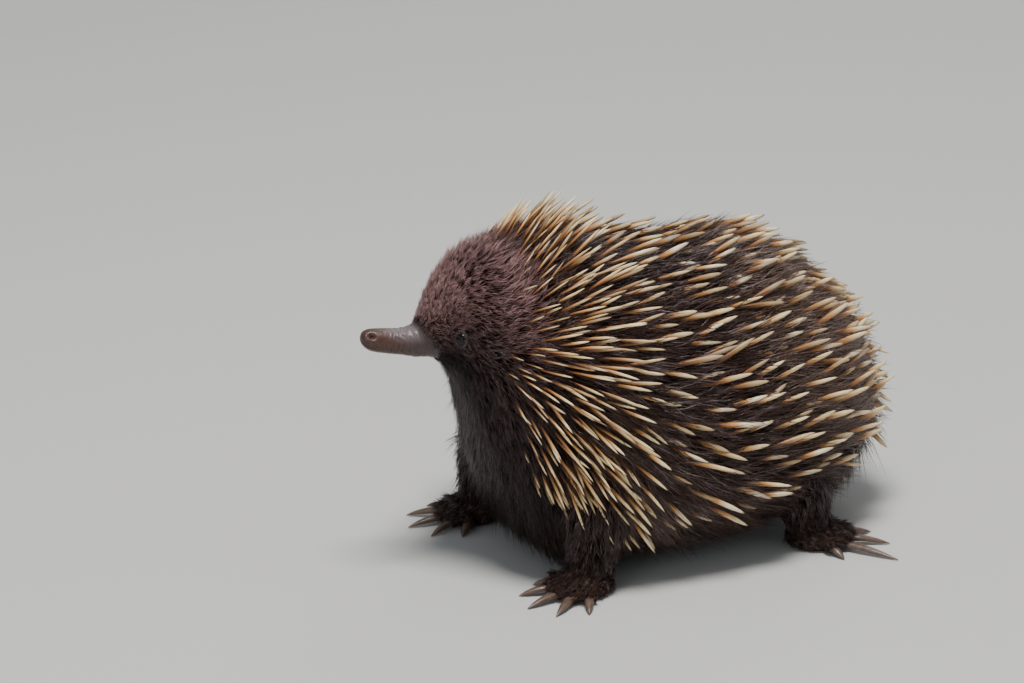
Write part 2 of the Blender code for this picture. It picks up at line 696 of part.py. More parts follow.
def make_limb(kind, side, path, radii, heading, claws, finish, claw_finish):
    """One limb: a leg and a foot parted at the ankle, and a claw on each toe."""
    name_side = "left" if side < 0 else "right"
    path = [(x, y if side < 0 else -y, z) for x, y, z in path]
    heading = heading if side < 0 else -heading
    points, sizes = smooth_path(path, radii, 6)
    limb = new_object("limb", tube_skin(points, sizes, 10), finish)
    ground = points[-1]
    out = Vector((math.cos(heading), math.sin(heading), 0))
    across = Vector((-out.y, out.x, 0))
    palm = ball_skin(Vector((ground.x, ground.y, 5 * MM)) + out * 3 * MM, (out, across, (0, 0, 1)), PALM, 12, 7)
    pieces = [new_object("palm", palm, finish)]
    toes = toe_places(ground, heading, side)
    for root, tip, toe_out in toes:
        stub = tube_skin([root, root.lerp(tip, 0.65), tip], [TOE_RADIUS * 1.15, TOE_RADIUS, TOE_END], 6)
        pieces.append(new_object("toe", stub, finish))
    combine(limb, pieces)
    combine(limb, [body_cutter(finish)], "DIFFERENCE")
    made = []
    for part, keep_up in (("leg", True), ("foot", False)):
        bm = bmesh.new()
        bm.from_mesh(limb.data)
        ankle = Vector((0, 0, ANKLE_LEVEL))
        up = Vector((0, 0, 1))
        if keep_up:
            trim(bm, ankle + up * GAP / 2, -up)
        else:
            trim(bm, ankle - up * GAP / 2, up)
            trim(bm, Vector(), -up)
        made.append(new_object(f"{kind}{part}_{name_side}", bm, finish))
    bpy.data.objects.remove(limb)
    for number, ((_, tip, toe_out), length) in enumerate(zip(toes, claws), 1):
        name = f"{kind}claw_{name_side}_{number}"
        made.append(make_claw(name, tip, toe_out, length * MM, claw_finish))
    return made


def main():
    for obj in list(bpy.data.objects):
        bpy.data.objects.remove(obj)
    skin = new_material("beak_skin", (0.115, 0.085, 0.078), 0.42)
    face_fur = new_material("face_fur", (0.075, 0.042, 0.034), 0.85)
    coat = new_material("spiny_coat", (0.16, 0.10, 0.062), 0.7)
    leg_fur = new_material("leg_fur", (0.05, 0.032, 0.024), 0.85)
    foot_skin = new_material("foot_skin", (0.07, 0.052, 0.045), 0.7)
    horn = new_material("claw_horn", (0.09, 0.07, 0.055), 0.35)
    eye = new_material("eye_dark", (0.008, 0.006, 0.005), 0.08)

    spines = plan_spines()
    made = [
        make_beak(skin),
        make_head(face_fur),
        make_trunk("neck", NECK_PLANE, HEAD_PLANE, spines, coat),
        make_trunk("torso", None, NECK_PLANE, spines, coat),
        make_tail(foot_skin),
        make_eye(-1, eye),
        make_eye(1, eye),
    ]
    for side in (-1, 1):
        made += make_limb("fore", side, FORE_PATH, FORE_RADII, FORE_HEADING, FORE_CLAWS, leg_fur, horn)
        made += make_limb("hind", side, HIND_PATH, HIND_RADII, HIND_HEADING, HIND_CLAWS, leg_fur, horn)

    stance = bpy.data.objects.new("stance", None)
    stance.location = STANCE
    bpy.context.scene.collection.objects.link(stance)
    for obj in made:
        obj.data.shade_smooth()
        obj.data.set_sharp_from_angle(angle=math.radians(50))
        obj.parent = stance


if __name__ == "__main__":
    main()
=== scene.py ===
"""Looks of the short-beaked echidna: one skin, a coat of fur in mesh tufts, quills, eyes and claws.

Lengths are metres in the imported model's frame. The body's form repeats the sections of the solids,
measured before STANCE puts the animal's middle on the origin.
"""

import itertools
import math

import bmesh
import bpy
import numpy as np
from mathutils import Matrix, Vector


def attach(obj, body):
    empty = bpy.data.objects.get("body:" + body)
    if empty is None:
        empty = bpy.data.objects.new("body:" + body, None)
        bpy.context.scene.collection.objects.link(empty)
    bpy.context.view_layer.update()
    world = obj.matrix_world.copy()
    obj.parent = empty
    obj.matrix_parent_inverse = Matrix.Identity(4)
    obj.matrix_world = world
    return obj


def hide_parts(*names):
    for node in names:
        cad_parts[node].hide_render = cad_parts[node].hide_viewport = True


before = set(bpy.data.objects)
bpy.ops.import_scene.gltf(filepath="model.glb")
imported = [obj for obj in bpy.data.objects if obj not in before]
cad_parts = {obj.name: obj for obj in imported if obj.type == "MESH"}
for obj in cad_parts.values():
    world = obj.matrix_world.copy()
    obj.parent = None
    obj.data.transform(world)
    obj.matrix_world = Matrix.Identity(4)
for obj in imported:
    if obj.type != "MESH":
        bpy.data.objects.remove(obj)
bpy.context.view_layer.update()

MM = 0.001
STANCE = np.array((-12.0, 0.0, 0.0)) * MM

# Camera: the photograph's view, from the animal's left front, with the beak's tip on its pixel
IMAGE_SIZE = (1024, 683)
VIEW_AZIMUTH, VIEW_ELEVATION = math.radians(-30), math.radians(20)
VIEW_DISTANCE = 2.8
METRES_PER_PIXEL = 0.0006
BEAK_TIP_PIXEL = (360, 339)
SENSOR_WIDTH = 36.0
FLOOR_HALF, FLOOR_LEVEL = 40.0, -0.0002

# Rear half of the body: half an ellipsoid behind the widest section
WIDEST_X = 33 * MM
REAR_LENGTH = 138 * MM
WIDEST_LEVEL = 64 * MM
REAR_LEVEL = 68 * MM
HALF_WIDTH = 103 * MM
HEIGHT_ABOVE = 137 * MM
DEPTH_BELOW = 56 * MM
REAR_SQUARENESS = 2.25
REAR_ARCH = 2.12
REAR_ANGLES = (90, 78, 64, 48, 32, 16, 0)

# Front half at the coat's outer face, rear to front, in millimetres:
# x, y of the centre, widest level, half-width, height above it, depth below it
FRONT_SECTIONS = (
    (-5, 0, 69, 101, 138, 61),
    (-43, 0, 80, 94, 136, 70),
    (-66, 0.2, 93, 85, 124, 78),
    (-83, 1, 113, 73, 101, 80),
    (-97, 3, 132, 59, 78, 72),
    (-108, 5.2, 146, 46, 60, 45),
    (-117.5, 7.1, 152, 36, 47, 23),
    (-125.5, 8.5, 154, 27.5, 33, 16),
    (-131.5, 9.5, 153.5, 20.5, 20.5, 13),
    (-136, 10.4, 152, 14, 13.5, 11),
    (-139, 11, 151, 10.5, 10.5, 10),
    (-143, 11.8, 151, 9, 9, 9),
    (-149, 13.1, 151.5, 7.8, 8, 8),
    (-159, 15.3, 153, 7.2, 7.5, 7.5),
    (-166, 16.8, 154.2, 6.6, 6.6, 6.8),
    (-170, 17.6, 155, 4.9, 4.7, 4.9),
    (-172.2, 18.1, 155.4, 0, 0, 0),
)
UNDERSIDE_FULLNESS = 0.75

# Depth of the skin below the coat's outer face, by x, on the back and on the belly
SKIN_X = np.array((-140, -133, -122, -104, -84, -62, 0)) * MM
SKIN_DEPTH = np.array((0, 1.2, 2.6, 5.5, 8.5, 12.0, 13.5)) * MM
BELLY_SHARE = 0.65
TRUNK_COLUMNS = 180

EYE_X, EYE_ANGLE = -121.5 * MM, math.radians(8.5)
EYE_RADIUS = 4.4 * MM
EAR_X, EAR_ANGLE = -106.5 * MM, math.radians(8)
NOSTRIL_BACK, NOSTRIL_ANGLE = 6.0 * MM, math.radians(37)
MOUTH_LENGTH, MOUTH_ANGLE = 12 * MM, math.radians(-32)

# Limbs on the left side, in millimetres, with the radii along them
FORE_PATH = ((-44, -46, 70), (-55, -64, 46), (-60, -67, 24), (-63, -68, 8))
FORE_RADII = (26, 21, 16, 13)
FORE_HEADING = math.radians(188)
FORE_CLAWS = (11, 17, 20, 19, 14)
HIND_PATH = ((80, -48, 60), (88, -64, 40), (92, -70, 22), (95, -72, 8))
HIND_RADII = (30, 24, 17, 13)
HIND_HEADING = math.radians(-32)
HIND_CLAWS = (10, 34, 23, 17, 12)
# Side, path, radii, heading of the foot and claws of each limb
LIMBS = (
    (-1, FORE_PATH, FORE_RADII, FORE_HEADING, FORE_CLAWS),
    (1, FORE_PATH, FORE_RADII, -FORE_HEADING, FORE_CLAWS),
    (-1, HIND_PATH, HIND_RADII, HIND_HEADING, HIND_CLAWS),
    (1, HIND_PATH, HIND_RADII, -HIND_HEADING, HIND_CLAWS),
)
TAIL_PATH = ((138, 0, 44), (152, 0, 41), (164, 0, 37), (172, 0, 33))
TAIL_RADII = (15, 12, 8, 4)
PALM = (18.5 * MM, 16.5 * MM, 11 * MM)
PALM_LEVEL, PALM_AHEAD = 6 * MM, 3 * MM
LEG_SKIN_DEPTH = 1.5 * MM
LEG_SIDES, TOE_SIDES, CLAW_SIDES, TAIL_SIDES = 28, 16, 14, 48
LEG_VOXEL = 1.3 * MM
TOE_SPREAD = math.radians(26)
TOE_REACH = 27 * MM
TOE_RADIUS = 4.4 * MM
CLAW_RADIUS = 3.0 * MM
CLAW_TIP_CLEARANCE = 0.5 * MM
CLAW_ROOT, CLAW_FLATNESS = 2.5 * MM, 0.72

# Raised and sunk forms of the face: height and half-length in millimetres, and half-angle
NOSTRIL_RISE, NOSTRIL_PIT = (0.8, 4.2, 0.62), (-3.6, 2.9, 0.4)
SOCKET_RISE, SOCKET_PIT = (0.9, 9, 0.3), (-3.2, 4.6, 0.15)
MOUTH_DEPTH, MOUTH_HALF_ANGLE = 0.42 * MM, 0.085
FOLD_HEIGHT, FINE_FOLD_HEIGHT = 0.17 * MM, 0.13 * MM
FOLD_PITCH, FINE_FOLD_PITCH = 0.58 * MM, 0.36 * MM
EYE_SUNK = 4.6 * MM

# Lids and ear rims: half-length, half-height and radius of the round stock, and the ear's slant
LID_RIM = (3.5 * MM, 4.5 * MM, 1.3 * MM)
EAR_RIM = (6.0 * MM, 2.2 * MM, 1.1 * MM)
EAR_SLANT = 0.6
RIM_SUNK = 0.2
RIM_SIDES, RIM_COUNT = 12, 48

# Zones of the skin: the slanted edge where the bare beak ends, the beak's length, and the feet's heights
EDGE_X, EDGE_LEVEL, EDGE_SLOPE = -131.5 * MM, 147 * MM, -0.45
BARE_BEAK = 43 * MM
FOOT_TOP, FOOT_LOW = 26 * MM, 12 * MM

# Where the lie of the coat fans out from, and its directions on back and rump
FAN_CENTRE = np.array((-108, 0, 148)) * MM
BACK_LIE = np.array((1, 0, 0.2))
RUMP_LIE = np.array((0, 0, -1))

# Hair: length by place on the trunk and by height on the legs, and girth along a strand
FUR_X = np.array((-138, -131, -120, -108, -95, -75, -40)) * MM
FUR_LENGTH = np.array((3.6, 5.2, 7.2, 9.8, 13.5, 21, 30)) * MM
LIMB_FUR_Z = np.array((0, 10, 24, 60)) * MM
LIMB_FUR_LENGTH = np.array((4.2, 6.0, 10, 15)) * MM
LIMB_FUR_WIDTH = 0.46 * MM
FUR_PROFILE = ((0, 0.8), (0.5, 1.0), (1, 0))
FUR_LIFT, FUR_CROWN_LIFT, FUR_RUMP_LIFT, LIMB_FUR_LIFT = 21, 24, 26, 19
FUR_SINK, LIMB_FUR_SINK = 0.4 * MM, 0.3 * MM
FUR_CLEARANCE = 0.3 * MM

# Quills: the edge behind the face by degrees round the neck, and the lowest ones by station
EDGE_ANGLES = (-90, -68, -58, -45, -17, 2, 17, 28, 42, 57, 74, 90)
EDGE_STATIONS = (248, 264, 270, 275, 278, 278, 275, 272, 269, 266, 265, 267)
LOWEST_STATIONS = np.array((0, 60, 200, 240, 266, 285)) * MM
LOWEST_ANGLES = (-32, -32, -32, -42, -36, -20)
QUILL_RANGE = (1.0 * MM, 285 * MM)
QUILL_ANGLES = (-math.radians(70), math.pi + math.radians(70))
QUILL_DARTS = 70000
NEIGHBOURS = tuple(itertools.product((-1, 0, 1), repeat=3))
NECK_SPACING, BACK_SPACING = 4.6 * MM, 10.6 * MM
NECK_QUILL, BACK_QUILL = 38 * MM, 45 * MM
NECK_QUILL_WIDTH, BACK_QUILL_WIDTH = 1.8 * MM, 3.4 * MM
QUILL_PROFILE = ((0, 0.7), (0.35, 0.92), (0.62, 1.0), (0.82, 0.84), (0.94, 0.46), (1, 0))
QUILL_SINK, QUILL_CLEARANCE, QUILL_SIDES = 1.5 * MM, 1.0 * MM, 7
LIFT_BACK, LIFT_NECK, LIFT_CREST, LIFT_RUMP = 18.5, 3, 36, 34
RUMP_SHORTENING = 0.2
TIPPED_SHARE = 0.35

# The bake map: the trunk's unwrapped skin, the legs' above it, and the patch that a strand takes
TRUNK_MAP_LENGTH, TRUNK_MAP_HEIGHT, MAP_MARGIN = 0.96, 0.76, 0.02
LIMB_MAP_FROM, LIMB_MAP_STEP, LIMB_MAP_SCALE = 0.82, 0.035, 0.4
PATCH = 0.003

# Screen colours of the hair: root, middle and tip, then root and tip of the painted sheen on hair that
# faces up
HEAD_HAIR = ((16, 9, 8), (46, 26, 24), (94, 63, 58), (34, 20, 19), (162, 122, 118))
BODY_HAIR = ((15, 8, 5), (42, 21, 13), (96, 64, 49), (38, 25, 19), (152, 124, 108))
LEG_HAIR = ((18, 11, 8), (44, 27, 20), (78, 55, 46), (30, 20, 16), (30, 20, 16))
# The colour of the painted highlight on some hairs, and the factor that goes with halved greys
HAIR_HIGHLIGHT = (156, 142, 144)
DOUBLE = (2, 2, 2, 1)

SEED = 5
FULL_TURN = (0, 2 * math.pi)

FLESH_NODES = (
    "beak", "head", "neck", "torso", "tail",
    *(
        f"{part}_{side}"
        for part in ("foreleg", "hindleg", "forefoot", "hindfoot")
        for side in ("left", "right")
    ),
)
CLAW_NODES = tuple(
    f"{kind}claw_{side}_{number}"
    for kind in ("fore", "hind")
    for side in ("left", "right")
    for number in range(1, 6)
)


def pchip(knots, values, at):
    """Smooth monotone interpolation, so that no section bulges between two stations."""
    step = np.diff(knots)
    rise = np.diff(values) / step
    slope = np.zeros(len(knots))
    for i in range(1, len(knots) - 1):
        if rise[i - 1] * rise[i] > 0:
            before = 2 * step[i] + step[i - 1]
            after = step[i] + 2 * step[i - 1]
            slope[i] = (before + after) / (before / rise[i - 1] + after / rise[i])
    slope[0], slope[-1] = rise[0], rise[-1]
    i = np.clip(np.searchsorted(knots, at, side="right") - 1, 0, len(step) - 1)
    t = (at - knots[i]) / step[i]
    return (
        (1 + 2 * t) * (1 - t) ** 2 * values[i]
        + t * (1 - t) ** 2 * step[i] * slope[i]
        + t**2 * (3 - 2 * t) * values[i + 1]
        + t**2 * (t - 1) * step[i] * slope[i + 1]
    )


def smoothstep(low, high, value):
    t = np.clip((np.asarray(value, float) - low) / (high - low), 0, 1)
    return t * t * (3 - 2 * t)


def unit(vectors):
    return vectors / np.maximum(np.linalg.norm(vectors, axis=-1, keepdims=True), 1e-12)


def turns(count):
    """The angles of a full turn in equal steps."""
    return 2 * math.pi * np.arange(count) / count


def flattened(vectors, normal):
    """The part of each vector that lies along the surface."""
    return vectors - normal * np.sum(vectors * normal, axis=-1, keepdims=True)


def raised(lie, normal, lift):
    return lie * np.cos(lift)[:, None] + normal * np.sin(lift)[:, None]


def body_sections():
    """All sections, rump to beak tip, as rows of x, y, level, half-width, height and depth."""
    rows = []
    for degrees in REAR_ANGLES:
        along = math.sin(math.radians(degrees))
        arch = max(0.0, 1 - along**REAR_ARCH) ** (1 / REAR_ARCH)
        broad = max(0.0, 1 - along**REAR_SQUARENESS) ** (1 / REAR_SQUARENESS)
        level = WIDEST_LEVEL + (REAR_LEVEL - WIDEST_LEVEL) * along
        centre = (WIDEST_X + REAR_LENGTH * along, 0.0, level)
        rows.append((*centre, HALF_WIDTH * broad, HEIGHT_ABOVE * arch, DEPTH_BELOW * broad))
    return np.array(rows + [[v * MM for v in row] for row in FRONT_SECTIONS])


SECTIONS = body_sections()
STATION = np.concatenate([[0.0], np.cumsum(np.hypot(*np.diff(SECTIONS[:, :2], axis=0).T))])
LENGTH = STATION[-1]


def station_at(x):
    return float(np.interp(-x, -SECTIONS[:, 0], STATION))


def centre_line(s):
    return np.stack([pchip(STATION, SECTIONS[:, i], s) for i in range(3)], axis=-1)


def coat_point(s, angle):
    """The coat's outer face at distance s from the rump. Angle 0 is the left side, 90 degrees the back."""
    s, angle = np.broadcast_arrays(np.asarray(s, float), np.asarray(angle, float))
    s = np.clip(s, 0, LENGTH)
    centre = centre_line(s)
    inner = np.clip(s, 2 * MM, LENGTH - 2 * MM)
    heading = unit((centre_line(inner + MM) - centre_line(inner - MM))[..., :2])
    squares = [pchip(STATION, SECTIONS[:, i] ** 2, s) for i in (3, 4, 5)]
    width, above, below = (np.sqrt(np.clip(square, 0, None)) for square in squares)
    cos, sin = np.cos(angle), np.sin(angle)
    full = np.sign(cos) * np.abs(cos) ** UNDERSIDE_FULLNESS
    aside = width * np.where(sin < 0, full, cos)
    up = np.where(sin < 0, below, above) * sin
    return centre + np.stack([-heading[..., 1] * aside, heading[..., 0] * aside, up], axis=-1)


def coat_normal(s, angle):
    step_s, step_a = 0.5 * MM, 0.01
    s = np.clip(s, 2 * step_s, LENGTH - 2 * step_s)
    along = coat_point(s + step_s, angle) - coat_point(s - step_s, angle)
    around = coat_point(s, angle + step_a) - coat_point(s, angle - step_a)
    return unit(np.cross(around, along))


def skin_depth(s, angle):
    x = centre_line(np.asarray(s, float))[..., 0]
    under = smoothstep(0.45, 0.9, -np.sin(angle))
    return np.interp(x, SKIN_X, SKIN_DEPTH) * (1 - (1 - BELLY_SHARE) * under)


def skin_point(s, angle):
    return coat_point(s, angle) - skin_depth(s, angle)[..., None] * coat_normal(s, angle)


def side_angle(angle, side):
    """The same place on the left side (-1) or the right side (1)."""
    return angle if side < 0 else math.pi - angle


def places(s, angle, sink=0.0, point_at=skin_point):
    """Points under a surface with their normals and the directions towards the beak."""
    normal = coat_normal(s, angle)
    ahead = coat_point(s + MM, angle) - coat_point(s - MM, angle)
    return point_at(s, angle) - normal * sink, normal, unit(flattened(ahead, normal))


def add_object(name, data):
    obj = bpy.data.objects.new(name, data)
    bpy.context.collection.objects.link(obj)
    return obj


def place_mesh(name, points, faces, finish):
    """A mesh object from arrays of points, measured before STANCE, and triangles."""
    mesh = bpy.data.meshes.new(name)
    mesh.vertices.add(len(points))
    mesh.vertices.foreach_set("co", (points + STANCE).astype(np.float32).ravel())
    mesh.loops.add(faces.size)
    mesh.loops.foreach_set("vertex_index", faces.astype(np.int32).ravel())
    mesh.polygons.add(len(faces))
    mesh.polygons.foreach_set("loop_start", np.arange(0, faces.size, 3, dtype=np.int32))
    mesh.update(calc_edges=True)
    mesh.shade_smooth()
    mesh.materials.append(finish)
    return add_object(name, mesh)


def band_faces(rows, columns, bands):
    """Triangles from each of the first rings to the next one. After the last ring comes the first."""
    i, j = np.meshgrid(np.arange(bands), np.arange(columns), indexing="ij")
    i, j = i.ravel(), j.ravel()
    n, k = (i + 1) % rows, (j + 1) % columns
    a, b, c, d = (row * columns + column for row, column in ((i, j), (i, k), (n, k), (n, j)))
    return np.concatenate([np.column_stack([a, b, c]), np.column_stack([a, c, d])])


def set_strand(mesh, values):
    """Stores the three values that the finishes read at each point."""
    made = mesh.attributes.new("strand", "FLOAT_VECTOR", "POINT")
    made.data.foreach_set("vector", np.column_stack(values).astype(np.float32).ravel())


def grid_faces(rows, columns):
    """Triangles of a closed skin of rings, with a pole before the first row and one after the last."""
    ring = np.arange(columns)
    after = (ring + 1) % columns
    first, last, end = rows * columns, rows * columns + 1, (rows - 1) * columns
    start_fan = np.column_stack([np.full(columns, first), after, ring])
    end_fan = np.column_stack([np.full(columns, last), end + ring, end + after])
    return np.concatenate([band_faces(rows, columns, rows - 1), start_fan, end_fan])


def tube_arrays(path, radii, sides, flatten=1.0):
    """Points and triangles of a closed tube along a path."""
    path, radii = np.asarray(path, float), np.asarray(radii, float)
    ahead = unit(np.gradient(path, axis=0))
    across = np.cross(ahead, np.broadcast_to((0.0, 0.0, 1.0), ahead.shape))
    across[np.linalg.norm(across, axis=1) < 0.05] = (0, 1, 0)
    across = unit(across)
    up = np.cross(across, ahead)
    turn = turns(sides)
    ring = across[:, None] * np.cos(turn)[:, None] + up[:, None] * np.sin(turn)[:, None] * flatten
    points = path[:, None] + ring * radii[:, None, None]
    points = np.concatenate([points.reshape(-1, 3), path[:1], path[-1:]])
    return points, grid_faces(len(path), sides)


def join_arrays(parts):
    """Several meshes as one pair of arrays."""
    points, faces, start = [], [], 0
    for part_points, part_faces in parts:
        points.append(part_points)
        faces.append(part_faces + start)
        start += len(part_points)
    return np.concatenate(points), np.concatenate(faces)


def smooth_path(points, radii, steps, side=-1):
    """Points and radii along a limb or the tail, on the left side (-1) or the right side (1)."""
    points, radii = np.array(points, float) * (1, -side, 1) * MM, np.array(radii, float) * MM
    knots = np.arange(len(points), dtype=float)
    at = np.linspace(0, knots[-1], steps)
    fine = np.stack([pchip(knots, points[:, i], at) for i in range(3)], axis=-1)
    return fine, pchip(knots, radii, at)


def toe_places(end, heading, side):
    """Root, end and heading of each toe, the first toe on the inner side."""
    toes = []
    for k in range(5):
        turn = heading + (k - 2) * TOE_SPREAD * (1 if side < 0 else -1)
        out = np.array((math.cos(turn), math.sin(turn), 0))
        reach = TOE_REACH * (1 - 0.03 * (k - 2) ** 2)
        ground = np.array((end[0], end[1], 0))
        root = ground + out * 6 * MM + (0, 0, TOE_RADIUS + 1.5 * MM)
        toes.append((root, ground + out * reach + (0, 0, TOE_RADIUS), out))
    return toes


def apply_change(obj, kind, **settings):
    change = obj.modifiers.new("change", kind)
    for key, value in settings.items():
        setattr(change, key, value)
    bpy.context.view_layer.objects.active = obj
    bpy.ops.object.modifier_apply(modifier=change.name)


def join_meshes(obj, tools):
    """Joins closed meshes to an object and removes them."""
    group = bpy.data.collections.new("tools")
    for tool in tools:
        bpy.context.collection.objects.unlink(tool)
        group.objects.link(tool)
    bpy.context.scene.collection.children.link(group)
    apply_change(
        obj, "BOOLEAN", operation="UNION", solver="MANIFOLD", operand_type="COLLECTION", collection=group,
    )
    for tool in tools:
        bpy.data.objects.remove(tool)
    bpy.data.collections.remove(group)


def trunk_stations():
    """Rings of the skin, close together on the face and closest on the beak."""
    changes = [station_at(x * MM) for x in (-70, -112, -134)]
    ends = (0.4 * MM, *changes, LENGTH - 0.3 * MM)
    spacings = (3.6 * MM, 2.0 * MM, 0.9 * MM, 0.45 * MM)
    stations = []
    for low, high, spacing in zip(ends, ends[1:], spacings):
        stations.extend(np.arange(low, high - spacing / 2, spacing))
    return np.array(stations + [ends[-1]])


def trunk_arrays():
    s = trunk_stations()
    at = np.meshgrid(s, turns(TRUNK_COLUMNS), indexing="ij")
    points = skin_point(*at) + coat_normal(*at) * face_relief(*at)[..., None]
    poles = [points[0].mean(axis=0), coat_point(LENGTH, 0.0)]
    return np.concatenate([points.reshape(-1, 3), poles]), grid_faces(len(s), TRUNK_COLUMNS)


def bump(s, angle, at_s, at_angle, half_s, half_angle):
    """A smooth rise of height one, oval on the skin."""
    far = ((s - at_s) / half_s) ** 2 + ((angle - at_angle) / half_angle) ** 2
    return np.exp(-far * 2)


def face_relief(s, angle):
    """Raised and sunk forms of the bare beak and of the face, in metres along the normal."""
    wrap = np.mod(angle + math.pi, 2 * math.pi) - math.pi
    height = np.zeros_like(s)
    nostril, eye = (LENGTH - NOSTRIL_BACK, NOSTRIL_ANGLE), (station_at(EYE_X), EYE_ANGLE)
    forms = ((nostril, NOSTRIL_RISE), (nostril, NOSTRIL_PIT), (eye, SOCKET_RISE), (eye, SOCKET_PIT))
    for side in (-1, 1):
        a = np.mod(side_angle(angle, side) + math.pi, 2 * math.pi) - math.pi
        for at, (rise, half_s, half_angle) in forms:
            height += rise * MM * bump(s, a, *at, half_s * MM, half_angle)
        mouth = smoothstep(LENGTH - MOUTH_LENGTH, LENGTH - MOUTH_LENGTH + 3 * MM, s)
        height -= MOUTH_DEPTH * mouth * np.exp(-((a - MOUTH_ANGLE) / MOUTH_HALF_ANGLE) ** 2)
    folds = smoothstep(LENGTH - BARE_BEAK, LENGTH - 34 * MM, s)
    folds = folds * smoothstep(LENGTH - 9 * MM, LENGTH - 20 * MM, s)
    wander = 2.2 * np.sin(wrap * 2 + s / (7 * MM))
    ripple = np.sin(s / FOLD_PITCH + wander + 1.6 * np.sin(wrap * 5 + s / (3 * MM)))
    fine = np.sin(s / FINE_FOLD_PITCH + 2.6 * np.sin(wrap * 3 + 1 + s / (5 * MM)))
    broken = 0.5 + 0.5 * np.sin(wrap * 3 + s / (4.5 * MM)) * np.sin(wrap * 2 - s / (6 * MM))
    height += folds * broken * (FOLD_HEIGHT * ripple + FINE_FOLD_HEIGHT * fine)
    return height


def make_limb(side, path, radii, heading, finish):
    """A leg with its foot and toes as one closed smooth skin."""
    line, sizes = smooth_path(path, radii, 20, side)
    end = line[-1]
    out = np.array((math.cos(heading), math.sin(heading), 0))
    across = np.array((-out[1], out[0], 0))
    parts = [tube_arrays(line, sizes - LEG_SKIN_DEPTH, LEG_SIDES)]
    turn = np.linspace(-math.pi / 2, math.pi / 2, 14)[1:-1]
    centre = np.array((end[0], end[1], PALM_LEVEL)) + out * PALM_AHEAD
    around = turns(LEG_SIDES)
    rings = (
        centre
        + out * (np.cos(turn)[:, None, None] * np.cos(around)[:, None] * PALM[0])
        + across * (np.cos(turn)[:, None, None] * np.sin(around)[:, None] * PALM[1])
        + (0, 0, 1) * (np.sin(turn)[:, None, None] * PALM[2])
    )
    poles = [centre - (0, 0, PALM[2]), centre + (0, 0, PALM[2])]
    parts.append((np.concatenate([rings.reshape(-1, 3), poles]), grid_faces(len(turn), LEG_SIDES)))
    for root, tip, _ in toe_places(end, heading, side):
        shares = np.linspace(0, 1, 12)[:, None]
        line = root + (tip - root) * shares + (0, 0, 1) * np.sin(shares * math.pi) * 1.5 * MM
        girth = TOE_RADIUS * (1.15 - 0.15 * shares[:, 0] + 0.12 * np.sin(shares[:, 0] * 9))
        girth[-1] *= 0.7
        parts.append(tube_arrays(line, girth, TOE_SIDES))
    points, faces = join_arrays(parts)
    points[:, 2] = np.maximum(points[:, 2], 0.0)
    limb = place_mesh("limb", points, faces, finish)
    apply_change(limb, "REMESH", mode="VOXEL", voxel_size=LEG_VOXEL)
    apply_change(limb, "SMOOTH", factor=0.5, iterations=6)
    return limb


def surface_of(obj):
    """Centres, normals and areas of a mesh's faces, measured before STANCE."""
    faces = obj.data.polygons
    values = [np.zeros(len(faces) * size, np.float32) for size in (3, 3, 1)]
    for key, value in zip(("center", "normal", "area"), values):
        faces.foreach_get(key, value)
    return values[0].reshape(-1, 3) - STANCE, values[1].reshape(-1, 3), values[2]


def make_skin(finish):
    """The whole bare body as one closed surface, and the surfaces of legs and tail as they were alone."""
    skin = place_mesh("skin", *trunk_arrays(), finish)
    tools = [make_limb(side, path, radii, heading, finish) for side, path, radii, heading, _ in LIMBS]
    tail = tube_arrays(*smooth_path(TAIL_PATH, TAIL_RADII, 40), TAIL_SIDES)
    tools.append(place_mesh("tail", *tail, finish))
    surfaces = [surface_of(tool) for tool in tools]
    join_meshes(skin, tools)
    skin.data.shade_smooth()
    return skin, surfaces


def make_claws(finish):
    """Every claw, long and curved, flatter below than above."""
    parts = []
    for side, path, radii, heading, claws in LIMBS:
        end = smooth_path(path, radii, 6, side)[0][-1]
        for (_, tip, out), length in zip(toe_places(end, heading, side), claws):
            t = np.linspace(0, 1, 14)
            drop = tip[2] - CLAW_TIP_CLEARANCE
            line = tip - out * CLAW_ROOT + out * ((length * MM + CLAW_ROOT) * t)[:, None]
            line = line - (0, 0, 1) * (drop * t**1.8)[:, None]
            girth = CLAW_RADIUS * np.clip(1 - t**2.2, 0.04, 1) ** 0.75
            parts.append(tube_arrays(line, girth, CLAW_SIDES, flatten=CLAW_FLATNESS))
    points, faces = join_arrays(parts)
    points[:, 2] = np.maximum(points[:, 2], 0.15 * MM)
    return place_mesh("claws", points, faces, finish)


def spread(rng, count, low, high, angles, near_beak=0.0):
    """Random places on the trunk's skin between two stations, and how much denser near the beak."""
    s, angle = np.zeros(0), np.zeros(0)
    while len(s) < count:
        try_s = rng.uniform(low, high, count * 4)
        try_a = rng.uniform(*angles, count * 4)
        along = skin_point(try_s + MM, try_a) - skin_point(try_s - MM, try_a)
        around = skin_point(try_s, try_a + 0.01) - skin_point(try_s, try_a - 0.01)
        density = 1 + near_beak * smoothstep(station_at(-112 * MM), station_at(-128 * MM), try_s)
        area = np.linalg.norm(np.cross(along, around), axis=-1) * density
        keep = rng.uniform(0, 1, count * 4) < area / (area.max() + 1e-12)
        s, angle = np.concatenate([s, try_s[keep]]), np.concatenate([angle, try_a[keep]])
    return s[:count], angle[:count]


def quill_edge(angle):
    """The station at which the quills end and the fur of the face begins, by the angle round the neck."""
    return np.interp(np.degrees(np.arcsin(np.sin(angle))), EDGE_ANGLES, EDGE_STATIONS) * MM


